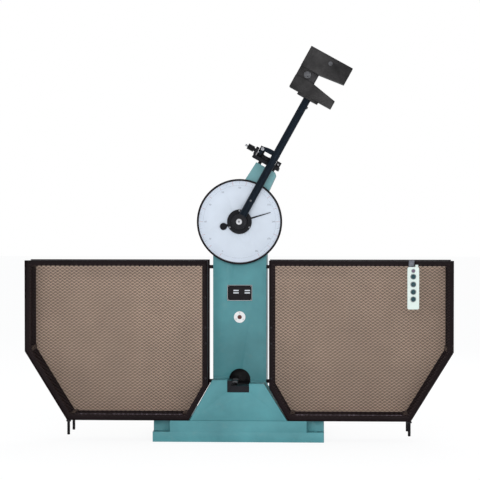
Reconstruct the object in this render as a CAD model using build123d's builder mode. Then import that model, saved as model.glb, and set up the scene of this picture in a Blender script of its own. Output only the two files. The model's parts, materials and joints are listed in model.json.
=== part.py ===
from build123d import *
import os
from math import cos, radians, sin, tan

# Pendulum impact tester, millimetres. X to the right, Y to the back, Z up.
# The origin is on the floor, under the middle of the base.

# Test geometry
strike_radius = 750.0
raise_angle = 151.0
shaft_height = 1014.0
swing_y = -180.0
anvil_plane_x = -5.0
specimen_side = 10.0
anvil_span = 40.0
striker_tip_radius = 2.0
striker_half_angle = 15.0

# Clearances
running_fit = 0.05
slide_fit = 0.25
seat_gap = 0.3

# Broken edges of the turned and milled parts
fine_break = 0.8
light_break = 1.0
medium_break = 1.5
heavy_break = 2.0
hub_round = 3.0

# Base casting
base_length = 790.0
base_depth = 600.0
base_height = 98.0
pocket_length = 80.0
plinth_length = base_length - 2 * pocket_length
pocket_floor = 46.0
pocket_depth = 60.0
pocket_radius = 38.0
anchor_inset_x = 40.0
anchor_inset_y = 30.0
anchor_spacing_x = base_length - 2 * anchor_inset_x
anchor_spacing_y = base_depth - 2 * anchor_inset_y
anchor_diameter = 22.0
base_edge = 4.0

# Pedestal in front of the swing plane
pedestal_setback = 2.0
pedestal_front_y = pedestal_setback - base_depth / 2
pedestal_back_y = -230.0
pedestal_top_half = 120.0
pedestal_foot_half = 226.0
pedestal_chamfer = 3.0
specimen_seat = shaft_height - strike_radius - specimen_side / 2
anvil_side_rise = 27.0
seat_side_rise = 10.0
anvil_side_height = specimen_seat + anvil_side_rise
seat_side_height = specimen_seat + seat_side_rise

# Column behind the swing plane
column_width = 250.0
column_front_y = -126.0
column_back_y = 170.0
column_wall = 12.0
column_crown_radius = 125.0
column_solid_rise = 91.0
column_solid_top = specimen_seat + column_solid_rise
column_solid_back_y = -20.0
ledge_front_y = -134.0
head_top_reach = 282.0
head_foot_reach = 90.0
head_top_trailing = 67.0
head_top_leading = 44.0
head_foot_trailing = 80.0
head_foot_leading = 57.0
head_back_y = 10.0
head_chamfer = 12.0
niche_rise = 14.0
niche_springing = specimen_seat + niche_rise
niche_back_y = -40.0

# Specimen supports and anvils
support_width = 100.0
support_drop = 29.0
support_nose_drop = 15.0
support_foot = specimen_seat - support_drop
support_nose_foot = specimen_seat - support_nose_drop
block_drop = 2.0
anvil_length = 60.0
anvil_thickness = 25.0
anvil_height = 20.0
anvil_screw_diameter = 6.0
anvil_screw_head = 10.0
anvil_screw_head_depth = 6.0
anvil_screw_pitch = 30.0
anvil_screw_bevel = 1.0
anvil_edge = 1.0
anvil_socket_depth = 3.0

# Hammer, seen along the shaft
hammer_trailing = 101.0
hammer_leading = 118.0
hammer_near = 662.0
hammer_far = 876.0
hammer_thickness = 65.0
hammer_corner = 3.0
slot_mouth_near = 703.0
slot_mouth_far = 790.0
slot_throat_v = -5.6
slot_throat_half = 24.5
web_thickness = 25.0
web_edge_v = -40.0
boss_half_width = 53.5
boss_height = 11.5
boss_thickness = 56.0
rod_seat_depth = 28.0
striker_tail_length = 26.0
striker_tail_thickness = 10.0
striker_bolt_diameter = 10.0
striker_bolt_head_diameter = 34.0
striker_bolt_head_height = 5.0
striker_nut_diameter = 26.0
plug_diameter = 20.0
plug_reach = 846.0
plug_v = 16.0
plug_height = 2.0
plug_seat_depth = 8.0

# Rod, hub and shaft
rod_diameter = 36.0
rod_start = 20.0
hub_diameter = 70.0
hub_front_y = -200.0
hub_back_y = -161.0
shaft_nose_diameter = 28.0
shaft_front_y = -204.0
shaft_shoulder_y = -159.0
shaft_diameter = 40.0
shaft_back_y = 32.0
catch_reach = 337.0
catch_pin_diameter = 14.0
catch_pin_end_y = -135.0
catch_pin_depth = 20.0
driver_reach = 112.0
driver_screw_diameter = 6.0
driver_screw_head = 10.0
driver_screw_head_height = 4.0
driver_tip_y = -158.5
lock_screw_setback = 47.0
lock_screw_reach = hammer_near - lock_screw_setback
lock_screw_diameter = 12.0
lock_screw_height = 5.0
lock_screw_depth = 6.0

# Bearings and dial
bearing_outer = 68.0
bearing_width = 15.0
bearing_front_y = -150.0
bearing_race = 5.0
bearing_track_depth = 2.0
housing_radius = 50.0
housing_front_y = -156.0
housing_flange_radius = 62.0
housing_flange = 6.0
shaft_bore_radius = 30.0
cover_radius = 57.5
cover_thickness = 4.0
cover_screw_circle_radius = 52.0
cover_screw_diameter = 8.0
cover_screw_depth = 3.0
dial_diameter = 400.0
dial_front_y = -151.0
dial_thickness = 2.0
rim_width = 6.5
rim_front_y = -153.5
rim_depth = 16.0
rim_lip = 2.0
standoff_circle_radius = 110.0
standoff_diameter = 14.0
pointer_back_y = -152.5
pointer_thickness = 3.0
pointer_tip = 152.0
pointer_tip_width = 2.5
pointer_root_width = 11.0
pointer_angle = 16.6
pointer_tail = 78.0
pointer_tail_radius = 17.0
pointer_neck_width = 12.0
pointer_ring_clear = 2.0

# Plate and flange on the column
nameplate_width = 117.0
nameplate_height = 74.0
nameplate_drop = 334.0
nameplate_z = shaft_height - nameplate_drop
nameplate_thickness = 1.5
nameplate_rim = 3.0
nameplate_lip = 0.8
flange_drop = 448.0
flange_z = shaft_height - flange_drop
flange_radius = 27.0
flange_thickness = 5.0
flange_centre_radius = 10.0
flange_screw_circle_radius = 19.5
flange_screw_diameter = 5.0

# Drive inside the column
shelf_drop = 84.0
shelf_z = shaft_height - shelf_drop
shelf_thickness = 14.0
bracket_y = 0.0
bracket_thickness = 20.0
bearing_bracket_rise = 84.0
bearing_bracket_top = shaft_height + bearing_bracket_rise
gearbox_half_width = 70.0
gearbox_front_y = 62.0
gearbox_depth = 84.0
gearbox_height = 150.0
gearbox_edge = 8.0
output_shaft_diameter = 25.0
clutch_radius = 52.0
clutch_rotor_thickness = 18.0
clutch_gap = 0.5
armature_thickness = 5.0
clutch_coil_radius = 44.0
motor_radius = 54.0
motor_length = 210.0
motor_flange_radius = 64.0
motor_flange = 10.0
motor_cowl_length = 40.0
motor_fin_count = 16
motor_fin_height = 5.0
motor_fin_width = 3.0

# Rear cover of the column
cover_foot_z = 110.0
cover_margin = 2.0
cover_screw_inset = 5.0
rear_cover_thickness = 3.0
rear_screw_diameter = 8.0
rear_screw_height = 3.0
rear_screw_end = 20.0
rear_screw_rows = 6

# Release gear on the slanted head, v along the swing, u away from the shaft
latch_plate_trailing = 96.0
latch_plate_leading = 42.0
latch_plate_near = 293.0
latch_plate_thickness = 17.0
latch_front_y = -158.0
latch_plate_back_y = -30.0
spacer_diameter = 14.0
hook_thickness = 14.0
hook_pivot_v = -70.0
hook_pivot_u = 350.0
hook_pivot_diameter = 10.0
hook_pivot_head = 16.0
hook_pivot_head_height = 3.0
hook_eye_radius = 12.0
hook_gap = 0.6
hook_crown = 368.0
hook_claw_width = 10.0
hook_claw_top = 360.0
hook_claw_foot = 331.5
hook_tail_reach = 27.0
hook_tail_width = 12.0
post_start_v = -99.0
post_end_v = -85.0
post_top = 348.0
post_back_y = -130.0
bracket_start_v = -84.0
bracket_end_v = -56.0
bracket_top = 362.0
bracket_front_y = -128.0
bracket_back_y = -100.0
solenoid_u = 329.0
solenoid_radius = 14.0
solenoid_start_v = -137.0
solenoid_end_v = -105.0
solenoid_neck_radius = 8.0
solenoid_ribs = 4
solenoid_groove = 1.5
plunger_radius = 4.0
plunger_start_v = -150.0
plunger_knob_radius = 6.0
plunger_knob_length = 8.0
plunger_nose_radius = 3.0
latch_box_start_v = -56.0
latch_box_end_v = -19.0
latch_box_top = 329.0
latch_box_front_y = -150.0
latch_box_back_y = -60.0
safety_block_start_v = 17.0
safety_block_end_v = 38.0
safety_block_top = 335.0
safety_block_front_y = -130.0
safety_block_back_y = -60.0
safety_pin_v = 27.5
safety_pin_u = 320.0
safety_pin_diameter = 11.0
safety_pin_front_y = -134.0
safety_pin_back_y = -8.0
safety_knob_diameter = 16.0
safety_knob_length = 12.0
spring_wire = 1.6
spring_pitch = 3.2
spring_radius = 7.0

# Guards each side of the swing
guard_inner_x = 142.0
guard_foot_clear = 4.0
guard_foot_inner_x = pedestal_foot_half + guard_foot_clear
guard_foot_outer_x = 792.0
guard_outer_x = 988.0
guard_slope_z = 416.0
guard_corner_z = 250.0
guard_top_z = 836.0
guard_front_y = pedestal_front_y
guard_back_y = -98.0
angle_leg = 25.0
angle_wall = 3.0
mesh_thickness = 2.0
mesh_inset = 16.0
mesh_pitch_x = 180.0
mesh_pitch_z = 120.0
mesh_strand = 8.0
mesh_border = 14.0
tray_thickness = 2.0
strut_side = 20.0
leg_x = 786.0
leg_diameter = 14.0
leg_foot_z = 30.0
leg_nut_diameter = 24.0
leg_nut_height = 8.0
guard_bolt_heights = (292.0, 453.0, 526.0, 664.0)
guard_bolt_head = 10.0
guard_bolt_height = 4.0
lug_heights = (264.0, 802.0)
lug_height = 16.0
lug_depth = 24.0

# Hand control hung on the right guard
pendant_x = 803.0
pendant_foot_z = 613.0
pendant_width = 54.0
pendant_height = 195.0
pendant_setback = 4.0
pendant_front_y = guard_front_y + pendant_setback
pendant_depth = 15.5
pendant_corner = 8.0
pendant_edge = 2.0
button_heights = (660.0, 693.5, 728.0, 763.5)
button_radius = 10.0
button_cap_height = 3.5
button_travel = 2.5
button_seat_depth = 7.0
lamp_radius = 7.0
lamp_height = 790.0
lamp_proud = 3.0
hook_strip_width = 26.0
hook_strip_thickness = 2.0
strip_offset = -8.0
gland_radius = 7.0
gland_offset = 16.0
gland_length = 12.0

os.makedirs("parts", exist_ok=True)

# The raised pendulum leans this far to the right of straight up.
lean = radians(180.0 - raise_angle)
along_arm = Vector(sin(lean), 0, cos(lean))
along_swing = Vector(cos(lean), 0, -sin(lean))


def front_plane(y):
    """A plane that faces the viewer, drawn in X and Z, at depth y."""
    return Plane.XZ.offset(-y)


def arm_plane(y):
    """A plane that faces the viewer, drawn in v and u of the raised arm, at depth y."""
    return Plane(origin=(0, y, shaft_height), x_dir=along_swing, z_dir=(0, -1, 0))


def across_arm(u, y):
    """A plane square to the arm at reach u, drawn in v and Y."""
    middle = Vector(0, y, shaft_height) + along_arm * u
    return Plane(origin=middle, x_dir=along_swing, z_dir=along_arm)


def along_v(v, u, y):
    """A plane square to the swing at v, whose normal points along the swing."""
    middle = Vector(0, y, shaft_height) + along_arm * u + along_swing * v
    return Plane(origin=middle, x_dir=(0, 1, 0), z_dir=along_swing)


def shaft_plane(y):
    """A plane square to the shaft, centred on it, at depth y."""
    return Plane(origin=(0, y, shaft_height), x_dir=(1, 0, 0), z_dir=(0, -1, 0))


def save(piece, name):
    """Labels a finished piece and writes it."""
    piece.part.label = name
    export_step(piece.part, f"parts/{name}.step")


# Base casting with an anchor pocket in each corner
with BuildPart() as base_casting:
    with BuildSketch():
        Rectangle(base_length, base_depth)
    extrude(amount=base_height)
    pocket_width = (base_length - plinth_length) / 2
    with BuildSketch(Plane.XY.offset(pocket_floor)):
        with GridLocations(base_length, base_depth, 2, 2):
            RectangleRounded(2 * pocket_width, 2 * pocket_depth, pocket_radius)
    extrude(amount=base_height - pocket_floor, mode=Mode.SUBTRACT)
    with Locations(Plane.XY.offset(pocket_floor)):
        with GridLocations(anchor_spacing_x, anchor_spacing_y, 2, 2):
            Hole(anchor_diameter / 2, depth=pocket_floor)
    upright_edges = base_casting.edges().filter_by(Axis.Z).filter_by(GeomType.LINE)
    flange_corners = upright_edges.group_by(Axis.X)
    fillet(flange_corners[0] + flange_corners[-1], radius=base_edge)
save(base_casting, "base_casting")

# The stepped slope that the pedestal and the column's ledge share
stepped_outline = [
    (-pedestal_foot_half, base_height),
    (pedestal_foot_half, base_height),
    (pedestal_top_half, seat_side_height),
    (anvil_plane_x, seat_side_height),
    (anvil_plane_x, anvil_side_height),
    (-pedestal_top_half, anvil_side_height),
]

with BuildPart() as front_pedestal:
    with BuildSketch(front_plane(pedestal_back_y)):
        with BuildLine():
            Polyline(stepped_outline, close=True)
        make_face()
        with Locations((0, support_foot + base_height)):
            Rectangle(support_width, 2 * base_height, mode=Mode.SUBTRACT)
    extrude(amount=pedestal_back_y - pedestal_front_y)
    slopes = front_pedestal.faces().sort_by(Axis.Y)[0].edges()
    chamfer(slopes.filter_by(Axis.X, reverse=True).filter_by(Axis.Z, reverse=True), length=pedestal_chamfer)
save(front_pedestal, "front_pedestal")

# Column, one casting with the slanted head that carries the release gear
inner_half = column_width / 2 - column_wall
head_outline = [
    (-head_foot_trailing, head_foot_reach),
    (head_foot_leading, head_foot_reach),
    (head_top_leading, head_top_reach - head_chamfer),
    (head_top_leading - head_chamfer, head_top_reach),
    (-head_top_trailing, head_top_reach),
]
with BuildPart() as column:
    with BuildSketch(front_plane(column_back_y)):
        with Locations((0, (base_height + shaft_height) / 2)):
            Rectangle(column_width, shaft_height - base_height)
        with Locations((0, shaft_height)):
            Circle(column_crown_radius)
    extrude(amount=column_back_y - column_front_y)
    with BuildSketch(arm_plane(head_back_y)):
        with BuildLine():
            Polyline(head_outline, close=True)
        make_face()
    extrude(amount=head_back_y - column_front_y)
    with BuildSketch(front_plane(column_back_y)):
        with Locations((0, (column_solid_top + shaft_height) / 2)):
            Rectangle(2 * inner_half, shaft_height - column_solid_top)
        with Locations((0, shaft_height)):
            Circle(inner_half)
    extrude(amount=column_back_y - column_front_y - column_wall, mode=Mode.SUBTRACT)
    with BuildSketch(front_plane(column_back_y)):
        with Locations((0, (base_height + column_solid_top) / 2)):
            Rectangle(2 * inner_half, column_solid_top - base_height)
    extrude(amount=column_back_y - column_solid_back_y, mode=Mode.SUBTRACT)
    with BuildSketch(front_plane(column_front_y)):
        with BuildLine():
            Polyline(stepped_outline, close=True)
        make_face()
    extrude(amount=column_front_y - ledge_front_y)
    with BuildSketch(front_plane(niche_back_y)):
        with Locations((0, (support_foot + niche_springing) / 2)):
            Rectangle(support_width, niche_springing - support_foot)
        with Locations((0, niche_springing)):
            Circle(support_width / 2)
    extrude(amount=niche_back_y - ledge_front_y, mode=Mode.SUBTRACT)
    with BuildSketch(shaft_plane(column_front_y + column_wall)):
        Circle(shaft_bore_radius)
    extrude(amount=column_wall, mode=Mode.SUBTRACT)
save(column, "column")

# Rear access cover, which follows the column's crown
cover_half = column_width / 2 - cover_margin
with BuildPart() as rear_cover:
    with BuildSketch(front_plane(column_back_y + rear_cover_thickness)):
        with Locations((0, (cover_foot_z + shaft_height) / 2)):
            Rectangle(2 * cover_half, shaft_height - cover_foot_z)
        with Locations((0, shaft_height)):
            Circle(cover_half)
    extrude(amount=rear_cover_thickness)
save(rear_cover, "rear_cover")

def make_support(root_y, nose_y, top_z, name):
    """A black block whose nose carries one end of the specimen over the swing gap."""
    toward = 1 if nose_y > root_y else -1
    body_end = pedestal_back_y if toward > 0 else ledge_front_y
    anvil_start = anvil_plane_x - anvil_thickness
    half = support_width / 2
    with BuildPart() as support:
        with BuildSketch(front_plane(max(root_y, body_end))):
            with BuildLine():
                Polyline(
                    (-half, support_foot),
                    (half, support_foot),
                    (half, specimen_seat),
                    (anvil_start, specimen_seat),
                    (anvil_start, top_z),
                    (-half, top_z),
                    close=True,
                )
            make_face()
        extrude(amount=abs(body_end - root_y))
        with BuildSketch(front_plane(max(nose_y, body_end))):
            with BuildLine():
                Polyline(
                    (-half, support_nose_foot),
                    (half, support_nose_foot),
                    (half, specimen_seat),
                    (anvil_start, specimen_seat),
                    (anvil_start, specimen_seat + anvil_height),
                    (-half, specimen_seat + anvil_height),
                    close=True,
                )
            make_face()
        extrude(amount=abs(nose_y - body_end))
        for y in anvil_screw_rows(nose_y, toward):
            with Locations(Plane(origin=(anvil_plane_x - anvil_thickness / 2, y, specimen_seat))):
                Hole(anvil_screw_diameter / 2, depth=anvil_height)
    save(support, name)


def anvil_screw_rows(nose_y, toward):
    """Depths of the two screws that hold an anvil."""
    middle = nose_y - toward * anvil_length / 2
    return [middle - anvil_screw_pitch / 2, middle + anvil_screw_pitch / 2]


def make_anvil(nose_y, toward, name):
    """A hardened anvil bar, rounded where the specimen bends over it."""
    middle_x = anvil_plane_x - anvil_thickness / 2
    middle_y = nose_y - toward * anvil_length / 2
    with BuildPart() as anvil:
        with BuildSketch(Plane(origin=(middle_x, middle_y, specimen_seat))):
            Rectangle(anvil_thickness, anvil_length)
        extrude(amount=anvil_height)
        struck_end = anvil.edges().filter_by(Axis.Z).group_by(Axis.X)[-1].sort_by(Axis.Y)
        fillet(struck_end[-1 if toward > 0 else 0], radius=anvil_edge)
        for y in anvil_screw_rows(nose_y, toward):
            with Locations(Plane(origin=(middle_x, y, specimen_seat + anvil_height))):
                CounterBoreHole(
                    anvil_screw_diameter / 2 + slide_fit,
                    anvil_screw_head / 2 + slide_fit,
                    anvil_screw_head_depth,
                    depth=anvil_height,
                )
    save(anvil, name)


front_nose_y = swing_y - anvil_span / 2
rear_nose_y = swing_y + anvil_span / 2
make_support(pedestal_front_y, front_nose_y, anvil_side_height - block_drop, "front_support_block")
make_support(niche_back_y, rear_nose_y, niche_springing, "rear_support_block")
make_anvil(front_nose_y, 1, "front_anvil")
make_anvil(rear_nose_y, -1, "rear_anvil")

with BuildPart() as anvil_screws:
    for y in anvil_screw_rows(front_nose_y, 1) + anvil_screw_rows(rear_nose_y, -1):
        screw_x = anvil_plane_x - anvil_thickness / 2
        with BuildSketch(Plane(origin=(screw_x, y, specimen_seat - anvil_height / 2))):
            Circle(anvil_screw_diameter / 2)
        extrude(amount=anvil_height)
        under_head = specimen_seat + anvil_height - anvil_screw_head_depth
        with BuildSketch(Plane(origin=(screw_x, y, under_head))):
            Circle(anvil_screw_head / 2)
        head_height = anvil_screw_head_depth - anvil_screw_bevel
        extrude(amount=head_height)
        with BuildSketch(Plane(origin=(screw_x, y, under_head + head_height))):
            RegularPolygon(anvil_screw_head / 4, 6)
        extrude(amount=-anvil_socket_depth, mode=Mode.SUBTRACT)
save(anvil_screws, "anvil_screws")

# Bearing housing, bearings, cover and screws on the shaft's line
with BuildPart() as bearing_housing:
    with BuildSketch(shaft_plane(column_front_y)):
        Circle(housing_flange_radius)
    extrude(amount=housing_flange)
    with BuildSketch(shaft_plane(column_front_y)):
        Circle(housing_radius)
    extrude(amount=column_front_y - housing_front_y)
    with BuildSketch(shaft_plane(column_front_y)):
        Circle(shaft_bore_radius)
    extrude(amount=column_front_y - housing_front_y, mode=Mode.SUBTRACT)
    with BuildSketch(shaft_plane(bearing_front_y + bearing_width)):
        Circle(bearing_outer / 2)
    extrude(amount=bearing_front_y + bearing_width - housing_front_y, mode=Mode.SUBTRACT)
save(bearing_housing, "bearing_housing")


def make_bearing(front_y, name):
    """A sealed ball bearing: two races with the shield set back between them."""
    inner = shaft_diameter / 2 + running_fit
    outer = bearing_outer / 2
    with BuildPart() as bearing:
        with BuildSketch(shaft_plane(front_y + bearing_width)):
            Circle(outer)
            Circle(inner, mode=Mode.SUBTRACT)
        extrude(amount=bearing_width)
        for y, side in ((front_y, -1), (front_y + bearing_width, 1)):
            with BuildSketch(shaft_plane(y)):
                Circle(outer - bearing_race)
                Circle(inner + bearing_race, mode=Mode.SUBTRACT)
            extrude(amount=side * bearing_track_depth, mode=Mode.SUBTRACT)
    save(bearing, name)


make_bearing(bearing_front_y, "front_bearing")
rear_bearing_y = bracket_y + (bracket_thickness - bearing_width) / 2
make_bearing(rear_bearing_y, "rear_bearing")

with BuildPart() as bearing_cover:
    with BuildSketch(shaft_plane(housing_front_y)):
        Circle(cover_radius)
        Circle(shaft_diameter / 2 + 3, mode=Mode.SUBTRACT)
    extrude(amount=cover_thickness)
    with BuildSketch(shaft_plane(housing_front_y - cover_thickness)):
        with PolarLocations(cover_screw_circle_radius, 3, start_angle=90):
            Circle(cover_screw_diameter / 2)
    extrude(amount=-cover_screw_depth, mode=Mode.SUBTRACT)
    rim_edges = bearing_cover.faces().sort_by(Axis.Y)[0].outer_wire().edges()
    chamfer(rim_edges, length=fine_break)
save(bearing_cover, "bearing_cover")

# Dial, rim and the posts that hold it off the column
with BuildPart() as dial_plate:
    with BuildSketch(shaft_plane(dial_front_y + dial_thickness)):
        Circle(dial_diameter / 2 - rim_width)
        Circle(housing_radius + 1, mode=Mode.SUBTRACT)
    extrude(amount=dial_thickness)
save(dial_plate, "dial_plate")

with BuildPart() as dial_rim:
    with BuildSketch(shaft_plane(rim_front_y + rim_depth)):
        Circle(dial_diameter / 2)
        Circle(dial_diameter / 2 - rim_width, mode=Mode.SUBTRACT)
    extrude(amount=rim_depth)
    with BuildSketch(shaft_plane(dial_front_y + dial_thickness + rim_lip)):
        Circle(dial_diameter / 2 - rim_width)
        Circle(dial_diameter / 2 - 2 * rim_width, mode=Mode.SUBTRACT)
    extrude(amount=rim_lip)
    lip_edges = dial_rim.faces().sort_by(Axis.Y)[0].edges()
    fillet(lip_edges, radius=light_break)
save(dial_rim, "dial_rim")

with BuildPart() as dial_standoffs:
    with BuildSketch(shaft_plane(column_front_y)):
        with PolarLocations(standoff_circle_radius, 4, start_angle=45):
            Circle(standoff_diameter / 2)
    extrude(amount=column_front_y - dial_front_y - dial_thickness)
save(dial_standoffs, "dial_standoffs")

# Pointer, a ring round the bearing housing with a blade and a balance disc
with BuildPart() as dial_pointer:
    blade_way = Vector(cos(radians(pointer_angle)), 0, sin(radians(pointer_angle)))
    pointer_middle = (0, pointer_back_y, shaft_height)
    with BuildSketch(Plane(origin=pointer_middle, x_dir=blade_way, z_dir=(0, -1, 0))):
        Circle(housing_radius + cover_thickness + pointer_ring_clear)
        with BuildLine():
            Polyline(
                (0, -pointer_root_width / 2),
                (pointer_tip, -pointer_tip_width / 2),
                (pointer_tip, pointer_tip_width / 2),
                (0, pointer_root_width / 2),
                close=True,
            )
        make_face()
        with Locations((-pointer_tail / 2, 0)):
            Rectangle(pointer_tail, pointer_neck_width)
        with Locations((-pointer_tail, 0)):
            Circle(pointer_tail_radius)
        Circle(housing_radius + 2 * running_fit, mode=Mode.SUBTRACT)
    extrude(amount=pointer_thickness)
save(dial_pointer, "dial_pointer")

# Column nameplate, left bare, and the round flange under it
with BuildPart() as nameplate:
    with BuildSketch(front_plane(column_front_y)):
        with Locations((0, nameplate_z)):
            Rectangle(nameplate_width, nameplate_height)
    extrude(amount=nameplate_thickness + nameplate_lip)
    with BuildSketch(front_plane(column_front_y - nameplate_thickness)):
        with Locations((0, nameplate_z)):
            Rectangle(nameplate_width - 2 * nameplate_rim, nameplate_height - 2 * nameplate_rim)
    extrude(amount=nameplate_lip, mode=Mode.SUBTRACT)
save(nameplate, "nameplate")

with BuildPart() as column_flange:
    with BuildSketch(front_plane(column_front_y)):
        with Locations((0, flange_z)):
            Circle(flange_radius)
            Circle(flange_centre_radius, mode=Mode.SUBTRACT)
    extrude(amount=flange_thickness)
    with BuildSketch(front_plane(column_front_y - flange_thickness)):
        with Locations((0, flange_z)):
            with PolarLocations(flange_screw_circle_radius, 3, start_angle=90):
                Circle(flange_screw_diameter / 2)
    extrude(amount=-flange_screw_diameter / 2, mode=Mode.SUBTRACT)
    front_rim = column_flange.faces().sort_by(Axis.Y)[0].outer_wire().edges()
    fillet(front_rim, radius=medium_break)
save(column_flange, "column_flange")

with BuildPart() as column_flange_plug:
    with BuildSketch(front_plane(column_front_y)):
        with Locations((0, flange_z)):
            Circle(flange_centre_radius)
    extrude(amount=flange_thickness - 1)
save(column_flange_plug, "column_flange_plug")

rear_screw_pitch = (shaft_height - cover_foot_z - 2 * rear_screw_end) / (rear_screw_rows - 1)
with BuildPart() as column_screws:
    with BuildSketch(shaft_plane(housing_front_y - cover_thickness + cover_screw_depth)):
        with PolarLocations(cover_screw_circle_radius, 3, start_angle=90):
            Circle(cover_screw_diameter / 2)
    extrude(amount=cover_screw_depth)
    flange_screw_depth = flange_screw_diameter / 2
    with BuildSketch(front_plane(column_front_y - flange_thickness + flange_screw_depth)):
        with Locations((0, flange_z)):
            with PolarLocations(flange_screw_circle_radius, 3, start_angle=90):
                Circle(flange_screw_diameter / 2)
    extrude(amount=flange_screw_depth)
    with BuildSketch(front_plane(column_back_y + rear_cover_thickness + rear_screw_height)):
        with Locations((0, (cover_foot_z + shaft_height) / 2)):
            screw_span = 2 * (cover_half - cover_screw_inset)
            with GridLocations(screw_span, rear_screw_pitch, 2, rear_screw_rows):
                Circle(rear_screw_diameter / 2)
    extrude(amount=rear_screw_height)
save(column_screws, "column_screws")

# Drive inside the column: shelf and bearing wall, gearbox, motor and clutch
with BuildPart() as drive_frame:
    shelf_front_y = bracket_y + bracket_thickness
    with BuildSketch(Plane.XY.offset(shelf_z)):
        with Locations((0, (shelf_front_y + column_back_y) / 2)):
            Rectangle(2 * inner_half, column_back_y - shelf_front_y)
        with Locations((0, gearbox_front_y + gearbox_depth / 2)):
            Circle(motor_radius / 2, mode=Mode.SUBTRACT)
    extrude(amount=shelf_thickness)
    with BuildSketch(front_plane(shelf_front_y)):
        with Locations((0, (shelf_z + shaft_height) / 2)):
            Rectangle(2 * inner_half, shaft_height - shelf_z)
        with Locations((0, shaft_height)):
            Rectangle(2 * bearing_outer, 2 * (bearing_bracket_top - shaft_height))
            Circle(bearing_outer / 2, mode=Mode.SUBTRACT)
    extrude(amount=bracket_thickness)
save(drive_frame, "drive_frame")

gearbox_foot = shelf_z + shelf_thickness
with BuildPart() as gearbox:
    with BuildSketch(Plane.XY.offset(gearbox_foot)):
        with Locations((0, gearbox_front_y + gearbox_depth / 2)):
            RectangleRounded(2 * gearbox_half_width, gearbox_depth, gearbox_edge)
    extrude(amount=gearbox_height)
    with BuildSketch(shaft_plane(gearbox_front_y)):
        Circle(output_shaft_diameter / 2 + running_fit)
    extrude(amount=-gearbox_depth / 2, mode=Mode.SUBTRACT)
    with BuildSketch(Plane.XY.offset(gearbox_foot)):
        with Locations((0, gearbox_front_y + gearbox_depth / 2)):
            Circle(motor_radius / 2)
    extrude(amount=-shelf_thickness)
save(gearbox, "gearbox")

motor_y = gearbox_front_y + gearbox_depth / 2
motor_top = shelf_z - motor_flange
with BuildPart() as motor:
    with BuildSketch(Plane(origin=(0, motor_y, motor_top))):
        Circle(motor_flange_radius)
    extrude(amount=motor_flange)
    with BuildSketch(Plane(origin=(0, motor_y, motor_top - motor_length))):
        Circle(motor_radius)
        with PolarLocations(motor_radius, motor_fin_count):
            Rectangle(2 * motor_fin_height, motor_fin_width)
    extrude(amount=motor_length)
    with BuildSketch(Plane(origin=(0, motor_y, motor_top - motor_length))):
        Circle(motor_radius + motor_fin_height)
    extrude(amount=-motor_cowl_length)
    cowl_edges = motor.faces().sort_by(Axis.Z)[0].edges()
    fillet(cowl_edges, radius=motor_fin_height)
save(motor, "motor")

armature_back_y = shaft_back_y + armature_thickness
rotor_front_y = armature_back_y + clutch_gap
with BuildPart() as clutch_rotor:
    with BuildSketch(shaft_plane(rotor_front_y + clutch_rotor_thickness)):
        Circle(clutch_radius)
    extrude(amount=clutch_rotor_thickness)
    with BuildSketch(shaft_plane(gearbox_front_y + gearbox_depth / 2 - running_fit)):
        Circle(output_shaft_diameter / 2)
    extrude(amount=gearbox_front_y + gearbox_depth / 2 - rotor_front_y)
save(clutch_rotor, "clutch_rotor")

with BuildPart() as clutch_armature:
    with BuildSketch(shaft_plane(armature_back_y)):
        Circle(clutch_radius)
    extrude(amount=armature_thickness)
    with BuildSketch(shaft_plane(armature_back_y)):
        Circle(clutch_coil_radius)
        Circle(clutch_coil_radius - clutch_gap * 4, mode=Mode.SUBTRACT)
    extrude(amount=clutch_gap * 4, mode=Mode.SUBTRACT)
save(clutch_armature, "clutch_armature")

# Pendulum shaft, hub and rod
with BuildPart() as pendulum_shaft:
    with BuildSketch(shaft_plane(shaft_back_y)):
        Circle(shaft_diameter / 2)
    extrude(amount=shaft_back_y - shaft_shoulder_y)
    with BuildSketch(shaft_plane(shaft_shoulder_y)):
        Circle(shaft_nose_diameter / 2)
    extrude(amount=shaft_shoulder_y - shaft_front_y)
    nose_edge = pendulum_shaft.faces().sort_by(Axis.Y)[0].edges()
    chamfer(nose_edge, length=medium_break)
save(pendulum_shaft, "pendulum_shaft")

with BuildPart() as pendulum_hub:
    with BuildSketch(shaft_plane(hub_back_y)):
        Circle(hub_diameter / 2)
    extrude(amount=hub_back_y - hub_front_y)
    hub_front = pendulum_hub.faces().sort_by(Axis.Y)[0].edges()
    fillet(hub_front, radius=hub_round)
    with BuildSketch(shaft_plane(hub_back_y)):
        Circle(shaft_nose_diameter / 2)
    extrude(amount=hub_back_y - hub_front_y, mode=Mode.SUBTRACT)
    with BuildSketch(across_arm(rod_start, swing_y)):
        Circle(rod_diameter / 2)
    extrude(amount=hub_diameter, mode=Mode.SUBTRACT)
save(pendulum_hub, "pendulum_hub")

rod_end = hammer_near - boss_height + rod_seat_depth
with BuildPart() as pendulum_rod:
    with BuildSketch(across_arm(rod_start, swing_y)):
        Circle(rod_diameter / 2)
    extrude(amount=rod_end - rod_start)
    rod_back_y = swing_y + rod_diameter / 2
    with BuildSketch(arm_plane(rod_back_y)):
        with Locations((0, catch_reach)):
            Circle(catch_pin_diameter / 2)
    extrude(amount=catch_pin_depth, mode=Mode.SUBTRACT)
    with BuildSketch(arm_plane(rod_back_y)):
        with Locations((0, driver_reach)):
            Circle(driver_screw_diameter / 2)
    extrude(amount=rod_diameter, mode=Mode.SUBTRACT)
    with BuildSketch(along_v(rod_diameter / 2 - lock_screw_depth, lock_screw_reach, swing_y)):
        Circle(lock_screw_diameter / 2)
    extrude(amount=lock_screw_depth, mode=Mode.SUBTRACT)
save(pendulum_rod, "pendulum_rod")

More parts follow.
